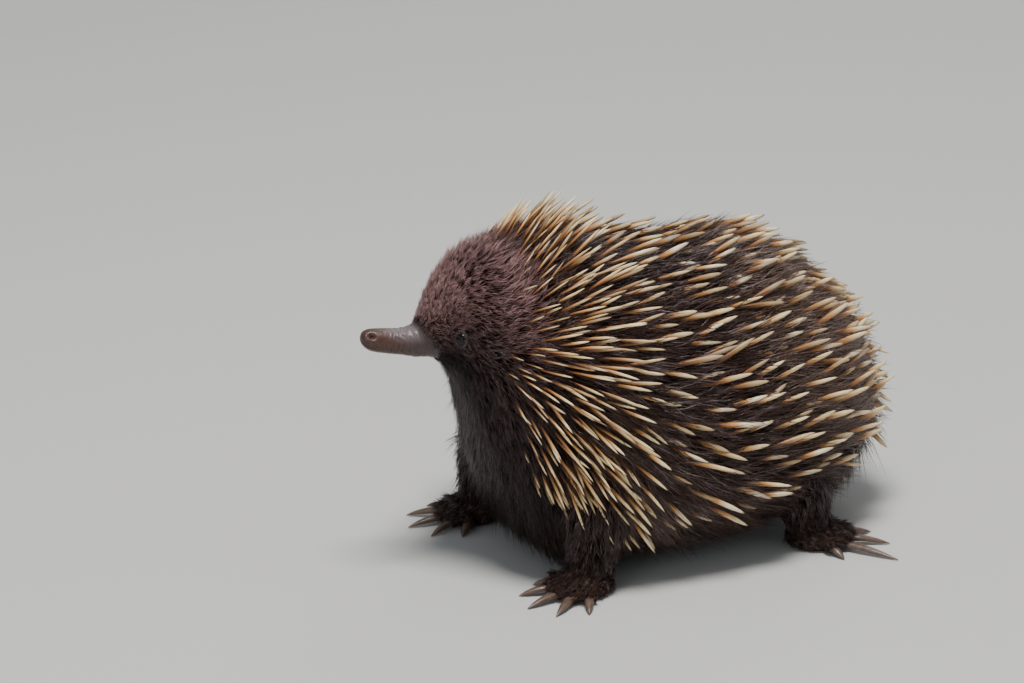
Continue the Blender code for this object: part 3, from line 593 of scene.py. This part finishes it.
def coat_lie(s, angle, point, normal, ahead):
    """Direction along the skin in which spines and hair lie, and how much they rise on crest and rump."""
    x, _, z = point.T
    fan = unit((point - FAN_CENTRE) * (1, 0.55, 1))
    fan[:, 0] = np.maximum(fan[:, 0], 0.12)
    rearward = smoothstep(-70 * MM, 22 * MM, x - 0.4 * np.maximum(0.0, 0.13 - z))
    under = smoothstep(0.1, -0.35, normal[:, 2])
    pole = smoothstep(0, 1, (normal[:, 0] - 0.8 + 0.6 * under) / (0.15 + 0.25 * under))[:, None]
    straight = BACK_LIE * (1 - pole) + RUMP_LIE * pole
    wish = unit(fan * (1 - rearward)[:, None] + straight * rearward[:, None])
    face = smoothstep(-8 * MM, 14 * MM, s - quill_edge(angle))[:, None]
    flat = flattened(wish, normal) * (1 - face) - ahead * face
    crest = smoothstep(0.55, 0.95, normal[:, 2]) * (1 - smoothstep(-85 * MM, 10 * MM, x))
    return unit(flat), crest, smoothstep(0.6, 0.92, normal[:, 0])


def blades(root, way, normal, length, width, bend, profile, sides=3, thin=0.6):
    """Tapering closed strands: points, triangles and the share of the length at each point."""
    count = len(root)
    shares, sizes = np.array(profile, float).T
    rows = len(shares)
    side = unit(np.cross(way, normal))
    up = np.cross(side, way)
    line = root[:, None] + way[:, None] * (length[:, None] * shares)[..., None]
    line = line + bend[:, None] * (length[:, None] * shares**2)[..., None]
    turn = 2 * math.pi * (np.arange(sides) + 0.25) / sides
    ring = side[:, None] * np.cos(turn)[:, None] + up[:, None] * np.sin(turn)[:, None] * thin
    girth = width[:, None] * sizes / 2
    points = line[:, :-1, None] + ring[:, None] * girth[:, :-1, None, None]
    each = (rows - 1) * sides + 1
    points = np.concatenate([points.reshape(count, -1, 3), line[:, -1:]], axis=1)
    along = np.append(np.repeat(shares[:-1], sides), 1.0)
    faces = []
    for j in range(rows - 2):
        for k in range(sides):
            a, b = j * sides + k, j * sides + (k + 1) % sides
            faces += [(a, b, b + sides), (a, b + sides, a + sides)]
    last = (rows - 2) * sides
    faces += [(last + k, last + (k + 1) % sides, each - 1) for k in range(sides)]
    faces += [(0, k + 1, k) for k in range(1, sides - 1)]
    faces = np.array(faces)[None] + (np.arange(count) * each)[:, None, None]
    return points.reshape(-1, 3), faces.reshape(-1, 3), np.tile(along, count), each


def trunk_map(s, angle):
    """Where places on the trunk lie on the unwrapped skin."""
    turn = np.mod(angle, 2 * math.pi) / (2 * math.pi)
    return s / LENGTH * TRUNK_MAP_LENGTH + MAP_MARGIN, turn * TRUNK_MAP_HEIGHT + MAP_MARGIN


def strand_piece(name, strands, clearance, shade, zone, place, finish):
    """One piece of many strands. Each has a patch of the bake map at its root's place on the skin."""
    points, faces, along, each = strands
    points[:, 2] = np.maximum(points[:, 2], clearance)
    obj = place_mesh(name, points, faces, finish)
    set_strand(obj.data, (along, np.repeat(shade, each), np.repeat(zone, each)))
    u, v = (np.repeat(a, each) for a in place)
    across = np.tile(np.linspace(-1, 1, each), len(shade)) * (PATCH / 2)
    uvs = np.column_stack([u + across, v + (along - 0.5) * PATCH]).astype(np.float32)
    obj.data.uv_layers.new(name="OFBake").uv.foreach_set("vector", uvs[faces.ravel()].ravel())
    return obj


def behind_face_edge(point):
    """How far a place lies behind the slanted edge at which the bare beak ends."""
    rise = np.maximum(point[..., 2] - EDGE_LEVEL, -6 * MM)
    return point[..., 0] - (EDGE_X + EDGE_SLOPE * rise)


def fur_length(x, normal):
    """Hair length by place: short round the beak and eyes, longest on the body and throat."""
    length = np.interp(x, FUR_X, FUR_LENGTH)
    throat = smoothstep(-0.1, -0.7, normal[:, 2]) * smoothstep(-45 * MM, -75 * MM, x)
    return length * (1 + 0.35 * throat)


def hairs(rng, clump, point, normal, along, tips, apart, loose, bend, girth):
    """The hairs of each tuft: their roots stand apart round its place, and they lean to its tip.

    bend is the pull on each tuft and how much it varies, girth the width of a hair of a given length.
    """
    spot = np.repeat(np.arange(len(point)), clump)
    count = len(spot)
    shift = rng.normal(0, 1, (count, 2)) * apart[spot, None]
    root = point[spot] + along[spot] * shift[:, :1] + np.cross(normal, along)[spot] * shift[:, 1:]
    reach = tips[spot] + rng.normal(0, 1, (count, 3)) * loose[spot, None] - root
    own = np.linalg.norm(reach, axis=1) * rng.uniform(0.82, 1.12, count)
    pull = bend[0][spot] + rng.normal(0, bend[1], (count, 3))
    width = girth[0] * rng.uniform(0.75, 1.2, count) * np.clip(own / girth[1], 0.75, 1.1)
    return spot, blades(root, unit(reach), normal[spot], own, width, pull, FUR_PROFILE)


def make_fur(name, rng, count, low, high, width, finish, near_beak=0.0, clump=5):
    """Tufts of hair on part of the trunk. The hairs of a tuft stand close and lean to one tip."""
    s, angle = spread(rng, count // clump, low, high, FULL_TURN, near_beak)
    point, normal, ahead = places(s, angle, FUR_SINK)
    furred = behind_face_edge(point) > (rng.uniform(0, 1, len(s)) ** 2 * 5.5 - 3.0) * MM
    s, angle, point, normal, ahead = (a[furred] for a in (s, angle, point, normal, ahead))
    tufts = len(s)
    lie, _, rump = coat_lie(s, angle, point, normal, ahead)
    x = point[:, 0]
    length = fur_length(x, normal) * rng.uniform(0.72, 1.2, tufts)
    # Painted sheen: crown and face hair facing up and forwards, and rump hair facing up, take the sheen
    # colours
    sheen_facing = smoothstep(0.15, 0.85, normal[:, 2] - 0.7 * normal[:, 0])
    crown = sheen_facing * smoothstep(-82 * MM, -98 * MM, x) * smoothstep(-141 * MM, -133 * MM, x)
    high_crown = smoothstep(0.25, 0.85, normal[:, 2]) * crown * smoothstep(-136 * MM, -108 * MM, x)
    lift = FUR_LIFT + 5 * rng.normal(0, 1, tufts) + FUR_CROWN_LIFT * high_crown + FUR_RUMP_LIFT * rump
    lift = np.radians(lift)
    waves = np.sin(s / (6.3 * MM) + 2.1 * np.sin(5 * angle)) + np.sin(s / (3.9 * MM) - 9 * angle)
    body = smoothstep(-80 * MM, -50 * MM, x)
    sway = (rng.normal(0, 0.12, tufts) + 0.09 * waves) * (1 - 0.35 * body)
    side = np.cross(normal, lie)
    lie = unit(lie + side * sway[:, None])
    apart, loose = 0.14 * length + 0.4 * MM, (0.09 - 0.03 * body) * length + 0.2 * MM
    bend, girth = (-normal * 0.12 + (0, 0, -0.10), 0.03), (width, 12 * MM)
    tips = point + raised(lie, normal, lift) * length[:, None]
    spot, strands = hairs(rng, clump, point, normal, ahead, tips, apart, loose, bend, girth)
    shade = np.repeat(rng.uniform(0, 1, tufts), clump) * 0.55 + rng.uniform(0, 1, len(spot)) * 0.45
    # Painted shade: hair on the face and under the head is darkened where it faces down
    painted_cheek_shade = smoothstep(0.5, 0.05, normal[:, 2]) * smoothstep(-66 * MM, -90 * MM, x)
    shade = shade * (1 - 0.8 * painted_cheek_shade[spot])
    sheen = smoothstep(10 * MM, 90 * MM, x) * smoothstep(-0.2, 0.7, normal[:, 2] + 0.4 * normal[:, 0])
    place = [a[spot] for a in trunk_map(s, angle)]
    return strand_piece(name, strands, FUR_CLEARANCE, shade, (crown + sheen)[spot], place, finish)


def limb_fur(name, rng, surfaces, counts, low, high, finish, clump=4):
    """Hair on legs, feet and tail between two heights: down the legs, and along feet and tail."""
    headings = [(math.cos(heading), math.sin(heading), -0.35) for *_, heading, _ in LIMBS]
    headings.append((1, 0, -0.15))
    roots, normals, lies, maps = [], [], [], []
    for row, ((centre, outward, area), heading, total) in enumerate(zip(surfaces, headings, counts)):
        inside = (centre[:, 2] > low) & (centre[:, 2] < high)
        weight = area * inside * smoothstep(-0.55, -0.2, outward[:, 2])
        pick = rng.choice(len(area), total // clump, p=weight / weight.sum())
        normal = outward[pick].astype(float)
        aside = rng.normal(0, 0.5, (len(pick), 3)) * np.sqrt(area[pick])[:, None]
        point = centre[pick] + flattened(aside, normal) - normal * LIMB_FUR_SINK
        foot = np.maximum(smoothstep(FOOT_TOP, FOOT_LOW, point[:, 2]), row == len(LIMBS))[:, None]
        roots.append(point)
        normals.append(normal)
        lies.append(np.array(heading) * foot + np.array((0, 0, -1.0)) * (1 - foot))
        from_middle = point - centre.mean(axis=0)
        turn = np.arctan2(from_middle[:, 1], from_middle[:, 0]) / (2 * math.pi) + 0.5
        level = LIMB_MAP_FROM + LIMB_MAP_STEP * row + LIMB_MAP_SCALE * point[:, 2]
        maps.append(np.column_stack([turn * 0.9 + 0.05, level]))
    point, normal, lie, at = (np.concatenate(a) for a in (roots, normals, lies, maps))
    count = len(point)
    lie = unit(unit(flattened(lie, normal)) + rng.normal(0, 0.16, (count, 3)))
    length = np.interp(point[:, 2], LIMB_FUR_Z, LIMB_FUR_LENGTH) * rng.uniform(0.75, 1.2, count)
    lift = np.radians(LIMB_FUR_LIFT + 5 * rng.normal(0, 1, count))
    apart, loose = 0.09 * length + 0.35 * MM, 0.08 * length
    bend, girth = (-normal * 0.15, 0.04), (LIMB_FUR_WIDTH, 9 * MM)
    tips = point + raised(lie, normal, lift) * length[:, None]
    spot, strands = hairs(rng, clump, point, normal, lie, tips, apart, loose, bend, girth)
    shade = np.repeat(rng.uniform(0, 1, count), clump) * 0.5 + rng.uniform(0, 1, len(spot)) * 0.5
    return strand_piece(name, strands, FUR_CLEARANCE, shade, np.zeros(len(spot)), at[spot].T, finish)


def quill_places(rng):
    """Places for the quills, evenly spread by keeping darts apart, closer together on the neck."""
    s, angle = spread(rng, QUILL_DARTS, *QUILL_RANGE, QUILL_ANGLES)
    point = skin_point(s, angle)
    apart = NECK_SPACING + (BACK_SPACING - NECK_SPACING) * smoothstep(-75 * MM, -20 * MM, point[:, 0])
    cells, kept = {}, []
    keys = np.floor(point / BACK_SPACING).astype(int)
    for i, key in enumerate(map(tuple, keys)):
        around = (cells.get((key[0] + dx, key[1] + dy, key[2] + dz), ()) for dx, dy, dz in NEIGHBOURS)
        near = [j for cell in around for j in cell]
        if near and np.linalg.norm(point[near] - point[i], axis=1).min() < apart[i]:
            continue
        kept.append(i)
        cells.setdefault(key, []).append(i)
    return s[kept], angle[kept]


def make_quills(name, rng, finish):
    """The coat of quills: fine and straw-coloured on the neck, stout and pale on back and rump."""
    s, angle = quill_places(rng)
    behind = quill_edge(angle) - s
    fold = np.degrees(np.arcsin(np.sin(angle)))
    lowest = np.interp(s, LOWEST_STATIONS, LOWEST_ANGLES)
    chance = 0.4 + 0.6 * smoothstep(0, 12 * MM, behind)
    keep = (behind > 0) & (fold > lowest) & (rng.uniform(0, 1, len(s)) < chance)
    s, angle, behind, fold, lowest = (a[keep] for a in (s, angle, behind, fold, lowest))
    count = len(s)
    point, normal, ahead = places(s, angle, QUILL_SINK)
    lie, crest, rump = coat_lie(s, angle, point, normal, ahead)
    edge = smoothstep(-4 * MM, 24 * MM, behind)
    back = smoothstep(-75 * MM, -15 * MM, point[:, 0])
    rim = 0.72 + 0.28 * smoothstep(0, 16, fold - lowest)
    length = NECK_QUILL + (BACK_QUILL - NECK_QUILL) * back
    length = length * np.maximum(0.42 + 0.58 * edge, 0.85 * crest) * rim
    length = length * rng.uniform(0.76, 1.1, count) * (1 - RUMP_SHORTENING * rump)
    width = (NECK_QUILL_WIDTH + (BACK_QUILL_WIDTH - NECK_QUILL_WIDTH) * back) * (0.42 + 0.58 * edge)
    width = width * rng.uniform(0.8, 1.15, count)
    lift = LIFT_BACK + LIFT_NECK * (1 - back) + (LIFT_CREST - LIFT_BACK) * crest + LIFT_RUMP * rump
    lift = np.radians(lift + 3.5 * rng.normal(0, 1, count))
    lie = unit(lie + np.cross(normal, lie) * rng.normal(0, 0.13, count)[:, None])
    way = unit(raised(lie, normal, lift))
    back_lying = way[:, 0] > 0.06
    s, angle, point, normal, way, length, width, back = (
        a[back_lying] for a in (s, angle, point, normal, way, length, width, back)
    )
    count = len(s)
    bend = np.array((0, 0, -0.03)) - normal * 0.05 + rng.normal(0, 0.018, (count, 3))
    strands = blades(point, way, normal, length, width, bend, QUILL_PROFILE, QUILL_SIDES, thin=1.0)
    shade = rng.uniform(0, 1, count)
    tipped = back * (rng.uniform(0, 1, count) < TIPPED_SHARE)
    return strand_piece(name, strands, QUILL_CLEARANCE, shade, tipped, trunk_map(s, angle), finish)


def new_finish(name, roughness):
    """A material with its node tree and its Principled shader."""
    made = bpy.data.materials.new(name)
    made.use_nodes = True
    tree = made.node_tree
    shader = next(n for n in tree.nodes if n.type == "BSDF_PRINCIPLED")
    shader.inputs["Roughness"].default_value = roughness
    return made, tree, shader


def colour(r, g, b):
    """A screen colour as the linear values that shaders use."""
    linear = (((c / 255 + 0.055) / 1.055) ** 2.4 if c > 10 else c / 255 / 12.92 for c in (r, g, b))
    return (*linear, 1.0)


def tones(*stops):
    """Stops of a ramp from places and screen colours."""
    return tuple((place, colour(*shade)) for place, *shade in stops)


def greys(*stops):
    """Stops of a ramp from places and plain values."""
    return tuple((place, (value, value, value, 1)) for place, value in stops)


def feed(tree, socket, value):
    """Links a socket to a node's output, or sets it to a value."""
    if hasattr(value, "links"):
        tree.links.new(value, socket)
    else:
        socket.default_value = value


def output(tree, kind, socket, **inputs):
    """The output of a new node, with its inputs linked or set."""
    made = tree.nodes.new("ShaderNode" + kind)
    for key, value in inputs.items():
        feed(tree, made.inputs[key], value)
    return made.outputs[socket]


def ramp(tree, source, stops):
    made = tree.nodes.new("ShaderNodeValToRGB")
    elements = made.color_ramp.elements
    while len(elements) > 1:
        elements.remove(elements[-1])
    elements[0].position, elements[0].color = stops[0]
    for position, shade in stops[1:]:
        elements.new(position).color = shade
    tree.links.new(source, made.inputs["Fac"])
    return made.outputs["Color"]


def mix(tree, factor, one, two, blend="MIX"):
    made = tree.nodes.new("ShaderNodeMix")
    made.data_type = "RGBA"
    made.blend_type = blend
    for key, value in (("Factor", factor), ("A", one), ("B", two)):
        feed(tree, made.inputs[key], value)
    return made.outputs["Result"]


def times(tree, one, two):
    return mix(tree, 1.0, one, two, "MULTIPLY")


def strand_values(tree):
    """The strand's three values: share of its length, its own shade and its zone."""
    read = tree.nodes.new("ShaderNodeAttribute")
    read.attribute_name = "strand"
    split = tree.nodes.new("ShaderNodeSeparateXYZ")
    tree.links.new(read.outputs["Vector"], split.inputs["Vector"])
    return split.outputs["X"], split.outputs["Y"], split.outputs["Z"]


def fur_finish(name, colours, highlight_strength=0.5, contrast=0.65):
    """Hair that lightens from root to tip, with darker and lighter hairs, a painted highlight on the outer
    part of some, and a painted sheen in its zone.
    """
    root, middle, tip, sheen_root, sheen_tip = (colour(*c) for c in colours)
    made, tree, shader = new_finish(name, 0.36)
    along, shade, zone = strand_values(tree)
    dark = ramp(tree, along, ((0, root), (0.5, middle), (1, tip)))
    # Painted sheen: hair in the zone takes paler colours from root to tip
    pale = ramp(tree, along, ((0, sheen_root), (1, sheen_tip)))
    both = mix(tree, zone, dark, pale)
    low, high = 1 - contrast, 1 + contrast * 1.4
    grey = ramp(tree, shade, greys((0, low / 2), (1, high / 2)))
    plain = times(tree, times(tree, both, DOUBLE), grey)
    # Painted highlight: the lightest hairs turn light grey on their outer part
    highlight_share = ramp(tree, shade, greys((0.6, 0), (0.9, highlight_strength)))
    outer = ramp(tree, along, greys((0.25, 0), (0.6, 1)))
    highlighted = mix(tree, times(tree, highlight_share, outer), plain, colour(*HAIR_HIGHLIGHT))
    tree.links.new(highlighted, shader.inputs["Base Color"])
    return made


def quill_finish():
    """Horn with a dark root and a pale shaft, on some quills of the back dark again at the tip."""
    made, tree, shader = new_finish("quill_horn", 0.38)
    along, shade, zone = strand_values(tree)
    straw = ramp(tree, along, tones(
        (0, 56, 33, 20), (0.4, 128, 80, 42), (0.6, 190, 138, 82), (0.8, 242, 218, 168), (1, 238, 218, 180),
    ))
    tipped = ramp(tree, along, tones(
        (0, 56, 33, 20), (0.44, 138, 82, 42), (0.6, 214, 158, 96),
        (0.74, 252, 238, 206), (0.93, 226, 206, 172), (1, 84, 62, 48),
    ))
    both = mix(tree, zone, straw, tipped)
    grey = ramp(tree, shade, (
        (0, (0.22, 0.19, 0.17, 1)), (0.5, (0.44, 0.42, 0.40, 1)), (1, (0.6, 0.6, 0.59, 1)),
    ))
    tree.links.new(times(tree, times(tree, both, DOUBLE), grey), shader.inputs["Base Color"])
    return made


def noise(tree, scale, detail, roughness=0.55):
    place = output(tree, "NewGeometry", "Position")
    return output(tree, "TexNoise", "Fac", Vector=place, Scale=scale, Detail=detail, Roughness=roughness)


def math_node(tree, operation, *values):
    made = tree.nodes.new("ShaderNodeMath")
    made.operation = operation
    for socket, value in zip(made.inputs, values):
        feed(tree, socket, value)
    return made.outputs["Value"]


def add_bump(tree, shader, height, distance, strength=1.0):
    bumps = output(tree, "Bump", "Normal", Height=height, Distance=distance, Strength=strength)
    tree.links.new(bumps, shader.inputs["Normal"])


def skin_finish():
    """Bare skin: grey-brown on the beak with a painted pale-grey sheen where its base faces up, dark under
    the fur, brown on the feet.
    """
    made, tree, shader = new_finish("bare_skin", 0.42)
    share, beak, foot = strand_values(tree)
    mottle = noise(tree, 420, 5, 0.6)
    bare = ramp(tree, share, tones(
        (0, 40, 28, 25), (0.12, 58, 43, 40), (0.3, 76, 61, 58), (0.52, 80, 56, 47),
        (0.85, 74, 50, 41), (0.94, 48, 35, 31), (1, 36, 28, 26),
    ))
    spots = ramp(tree, mottle, ((0.3, (0.38, 0.37, 0.37, 1)), (0.7, (0.62, 0.60, 0.60, 1))))
    bare = times(tree, times(tree, bare, DOUBLE), spots)
    # Painted sheen: the beak's base turns pale grey where it faces up
    upward = output(tree, "SeparateXYZ", "Z", Vector=output(tree, "NewGeometry", "Normal"))
    above = ramp(tree, upward, greys((0, 0), (0.75, 0.75)))
    base_sheen_band = ramp(tree, share, greys((0.06, 0), (0.15, 1), (0.34, 1), (0.62, 0.06)))
    bare = mix(tree, times(tree, above, base_sheen_band), bare, colour(128, 116, 118))
    under = mix(tree, foot, colour(26, 16, 12), colour(66, 48, 41))
    tree.links.new(mix(tree, beak, under, bare), shader.inputs["Base Color"])
    waver = math_node(tree, "MULTIPLY", mottle, 16.0)
    lines = math_node(tree, "SINE", math_node(tree, "MULTIPLY_ADD", share, 250.0, waver))
    near_face = ramp(tree, share, greys((0.1, 1), (0.7, 0.08)))
    grain = math_node(tree, "MULTIPLY", noise(tree, 1500, 6, 0.65), 1.6)
    add_bump(tree, shader, math_node(tree, "MULTIPLY_ADD", lines, near_face, grain), 0.16 * MM, 0.8)
    gloss = ramp(tree, beak, greys((0, 0), (1, 0.36)))
    tree.links.new(ramp(tree, beak, greys((0, 0.9), (1, 0.3))), shader.inputs["Roughness"])
    tree.links.new(gloss, shader.inputs["Specular IOR Level"])
    tree.links.new(times(tree, gloss, (0.5, 0.5, 0.5, 1)), shader.inputs["Coat Weight"])
    shader.inputs["Coat Roughness"].default_value = 0.18
    return made


def plain_finish(name, shade, roughness, bumps=None, coat=0.0, gloss=0.5):
    """One colour, mottled, with bumps of a given scale, detail and height."""
    made, tree, shader = new_finish(name, roughness)
    shader.inputs["Specular IOR Level"].default_value = gloss
    tone = noise(tree, 260, 4)
    low = tuple(c * 0.7 for c in shade[:3]) + (1,)
    high = tuple(min(1, c * 1.35) for c in shade[:3]) + (1,)
    tree.links.new(ramp(tree, tone, ((0.3, low), (0.7, high))), shader.inputs["Base Color"])
    if bumps:
        add_bump(tree, shader, noise(tree, *bumps[:2]), bumps[2])
    shader.inputs["Coat Weight"].default_value = coat
    shader.inputs["Coat Roughness"].default_value = 0.05
    return made


def colour_skin(skin):
    """Gives the skin its zones: share along the beak, bareness of the beak, and the feet."""
    count = len(skin.data.vertices)
    points = np.zeros(count * 3, np.float32)
    skin.data.vertices.foreach_get("co", points)
    points = points.reshape(-1, 3) - STANCE
    edge = behind_face_edge(points)
    share = np.clip((2 * MM - edge) / BARE_BEAK, 0, 1)
    bare = smoothstep(3.0 * MM, -1.0 * MM, edge)
    foot = smoothstep(FOOT_TOP, FOOT_LOW, points[:, 2])
    set_strand(skin.data, (share, bare, foot))


def rim_arrays(place, half_length, half_height, radius, slant=0.0):
    """A ring of round stock lying on the surface, for the lids of an eye or the rim of an ear."""
    point, normal, ahead = place
    up = np.cross(normal, ahead)
    turn = turns(RIM_COUNT)
    along = ahead * math.cos(slant) + up * math.sin(slant)
    rise = up * math.cos(slant) - ahead * math.sin(slant)
    out = along * (np.cos(turn) * half_length)[:, None] + rise * (np.sin(turn) * half_height)[:, None]
    away = unit(out)
    t = turns(RIM_SIDES)
    ring = away[:, None] * np.cos(t)[:, None] + normal * np.sin(t)[:, None]
    points = point + out[:, None] - normal * radius * RIM_SUNK + ring * radius
    return points.reshape(-1, 3), band_faces(RIM_COUNT, RIM_SIDES, RIM_COUNT)


def make_eye(name, side, finish):
    point, *_ = places(station_at(EYE_X), side_angle(EYE_ANGLE, side), EYE_SUNK, coat_point)
    bm = bmesh.new()
    bmesh.ops.create_uvsphere(bm, u_segments=48, v_segments=32, radius=EYE_RADIUS)
    mesh = bpy.data.meshes.new(name)
    bm.to_mesh(mesh)
    bm.free()
    mesh.shade_smooth()
    mesh.materials.append(finish)
    obj = add_object(name, mesh)
    obj.location = Vector(point + STANCE)
    return obj


def make_camera():
    """The photograph's view: the beak's tip falls on its pixel at the photograph's scale."""
    cos, sin = math.cos(VIEW_AZIMUTH), math.sin(VIEW_AZIMUTH)
    level = np.array((-sin, cos, 0))
    ahead = level * math.cos(VIEW_ELEVATION) - (0, 0, math.sin(VIEW_ELEVATION))
    right = np.array((cos, sin, 0))
    up = np.cross(right, ahead)
    tip = coat_point(LENGTH, 0.0) + STANCE
    aside = (BEAK_TIP_PIXEL[0] - IMAGE_SIZE[0] / 2) * METRES_PER_PIXEL
    rise = (IMAGE_SIZE[1] / 2 - BEAK_TIP_PIXEL[1]) * METRES_PER_PIXEL
    place = tip - ahead * VIEW_DISTANCE - right * aside - up * rise
    data = bpy.data.cameras.new("camera")
    data.sensor_width = SENSOR_WIDTH
    data.lens = SENSOR_WIDTH * VIEW_DISTANCE / (METRES_PER_PIXEL * IMAGE_SIZE[0])
    data.clip_start, data.clip_end = 0.1, 50
    camera = add_object("camera", data)
    turned = Matrix((right, up, -ahead)).transposed().to_4x4()
    camera.matrix_world = Matrix.Translation(Vector(place)) @ turned
    bpy.context.scene.camera = camera


def area_light(name, place, target, size, power, shade):
    data = bpy.data.lights.new(name, "AREA")
    data.shape = "DISK"
    data.size = size
    data.energy = power
    data.color = shade
    light = add_object(name, data)
    light.location = place
    light.rotation_euler = (Vector(target) - Vector(place)).to_track_quat("-Z", "Y").to_euler()


def make_stage():
    """A pale plain floor with soft studio light."""
    mesh = bpy.data.meshes.new("floor")
    corners = [(x * FLOOR_HALF, y * FLOOR_HALF, 0) for x, y in ((-1, -1), (1, -1), (1, 1), (-1, 1))]
    mesh.from_pydata(corners, [], [(0, 1, 2, 3)])
    floor = add_object("floor", mesh)
    floor.location.z = FLOOR_LEVEL
    made, _, shader = new_finish("floor_paint", 0.9)
    shader.inputs["Base Color"].default_value = (0.62, 0.62, 0.60, 1)
    shader.inputs["Specular IOR Level"].default_value = 0.1
    mesh.materials.append(made)
    area_light("sky", (-0.35, -0.55, 2.6), (0, 0, 0.1), 0.8, 76, (1.0, 0.98, 0.96))
    area_light("front", (-2.4, -1.6, 1.0), (0, 0, 0.12), 1.6, 9, (0.92, 0.96, 1.0))
    area_light("rear", (1.8, 1.6, 1.6), (0, 0, 0.12), 1.2, 12, (1.0, 0.97, 0.93))
    world = bpy.data.worlds.new("world")
    world.use_nodes = True
    background = world.node_tree.nodes["Background"]
    background.inputs["Color"].default_value = (0.8, 0.84, 0.9, 1)
    background.inputs["Strength"].default_value = 0.35
    bpy.context.scene.world = world


def main():
    make_camera()
    make_stage()
    bare = skin_finish()
    skin, surfaces = make_skin(bare)
    colour_skin(skin)
    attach(skin, "root")
    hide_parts(*FLESH_NODES)
    head_hair = fur_finish("head_hair", HEAD_HAIR, contrast=0.75)
    body_hair = fur_finish("body_hair", BODY_HAIR, highlight_strength=0.7)
    leg_hair = fur_finish("leg_hair", LEG_HAIR)
    rng = np.random.default_rng(SEED)
    rump, loin, flank, neck, crown, face = (station_at(x * MM) for x in (85, 20, -40, -84, -108, -138.5))
    coats = [
        make_fur("face_fur", rng, 19500, crown, face, 0.38 * MM, head_hair, near_beak=2.5),
        make_fur("head_fur", rng, 19500, neck, crown, 0.40 * MM, head_hair),
        make_fur("shoulder_fur", rng, 19000, flank, neck, 0.56 * MM, body_hair),
        make_fur("flank_fur", rng, 18500, loin, flank, 0.62 * MM, body_hair),
        make_fur("loin_fur", rng, 18000, rump, loin, 0.62 * MM, body_hair),
        make_fur("rump_fur", rng, 17500, 0.5 * MM, rump, 0.62 * MM, body_hair),
        limb_fur("leg_fur", rng, surfaces, (3500,) * 4 + (1600,), 20 * MM, 68 * MM, leg_hair),
        limb_fur("foot_fur", rng, surfaces[:4], (3500,) * 4, 0.0, 20 * MM, leg_hair),
    ]
    for piece in coats:
        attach(piece, "root")
    quills = make_quills("quills", rng, quill_finish())
    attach(quills, "root")
    horn = plain_finish("claw_surface", colour(96, 78, 66), 0.35, (900, 3, 0.15 * MM), 0.1)
    claws = make_claws(horn)
    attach(claws, "root")
    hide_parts(*CLAW_NODES)
    wet = plain_finish("eye_surface", colour(9, 6, 6), 0.05, gloss=0.3)
    lid = plain_finish("lid_skin", colour(46, 39, 41), 0.38, (2200, 4, 0.3 * MM), 0.3)
    rims = []
    for side, node in ((-1, "eye_left"), (1, "eye_right")):
        eye = make_eye(node + "_ball", side, wet)
        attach(eye, "root")
        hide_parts(node)
        rims.append(rim_arrays(places(station_at(EYE_X), side_angle(EYE_ANGLE, side)), *LID_RIM))
        ear = places(station_at(EAR_X), side_angle(EAR_ANGLE, side))
        rims.append(rim_arrays(ear, *EAR_RIM, slant=EAR_SLANT))
    lids = place_mesh("lids", *join_arrays(rims), lid)
    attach(lids, "root")


main()
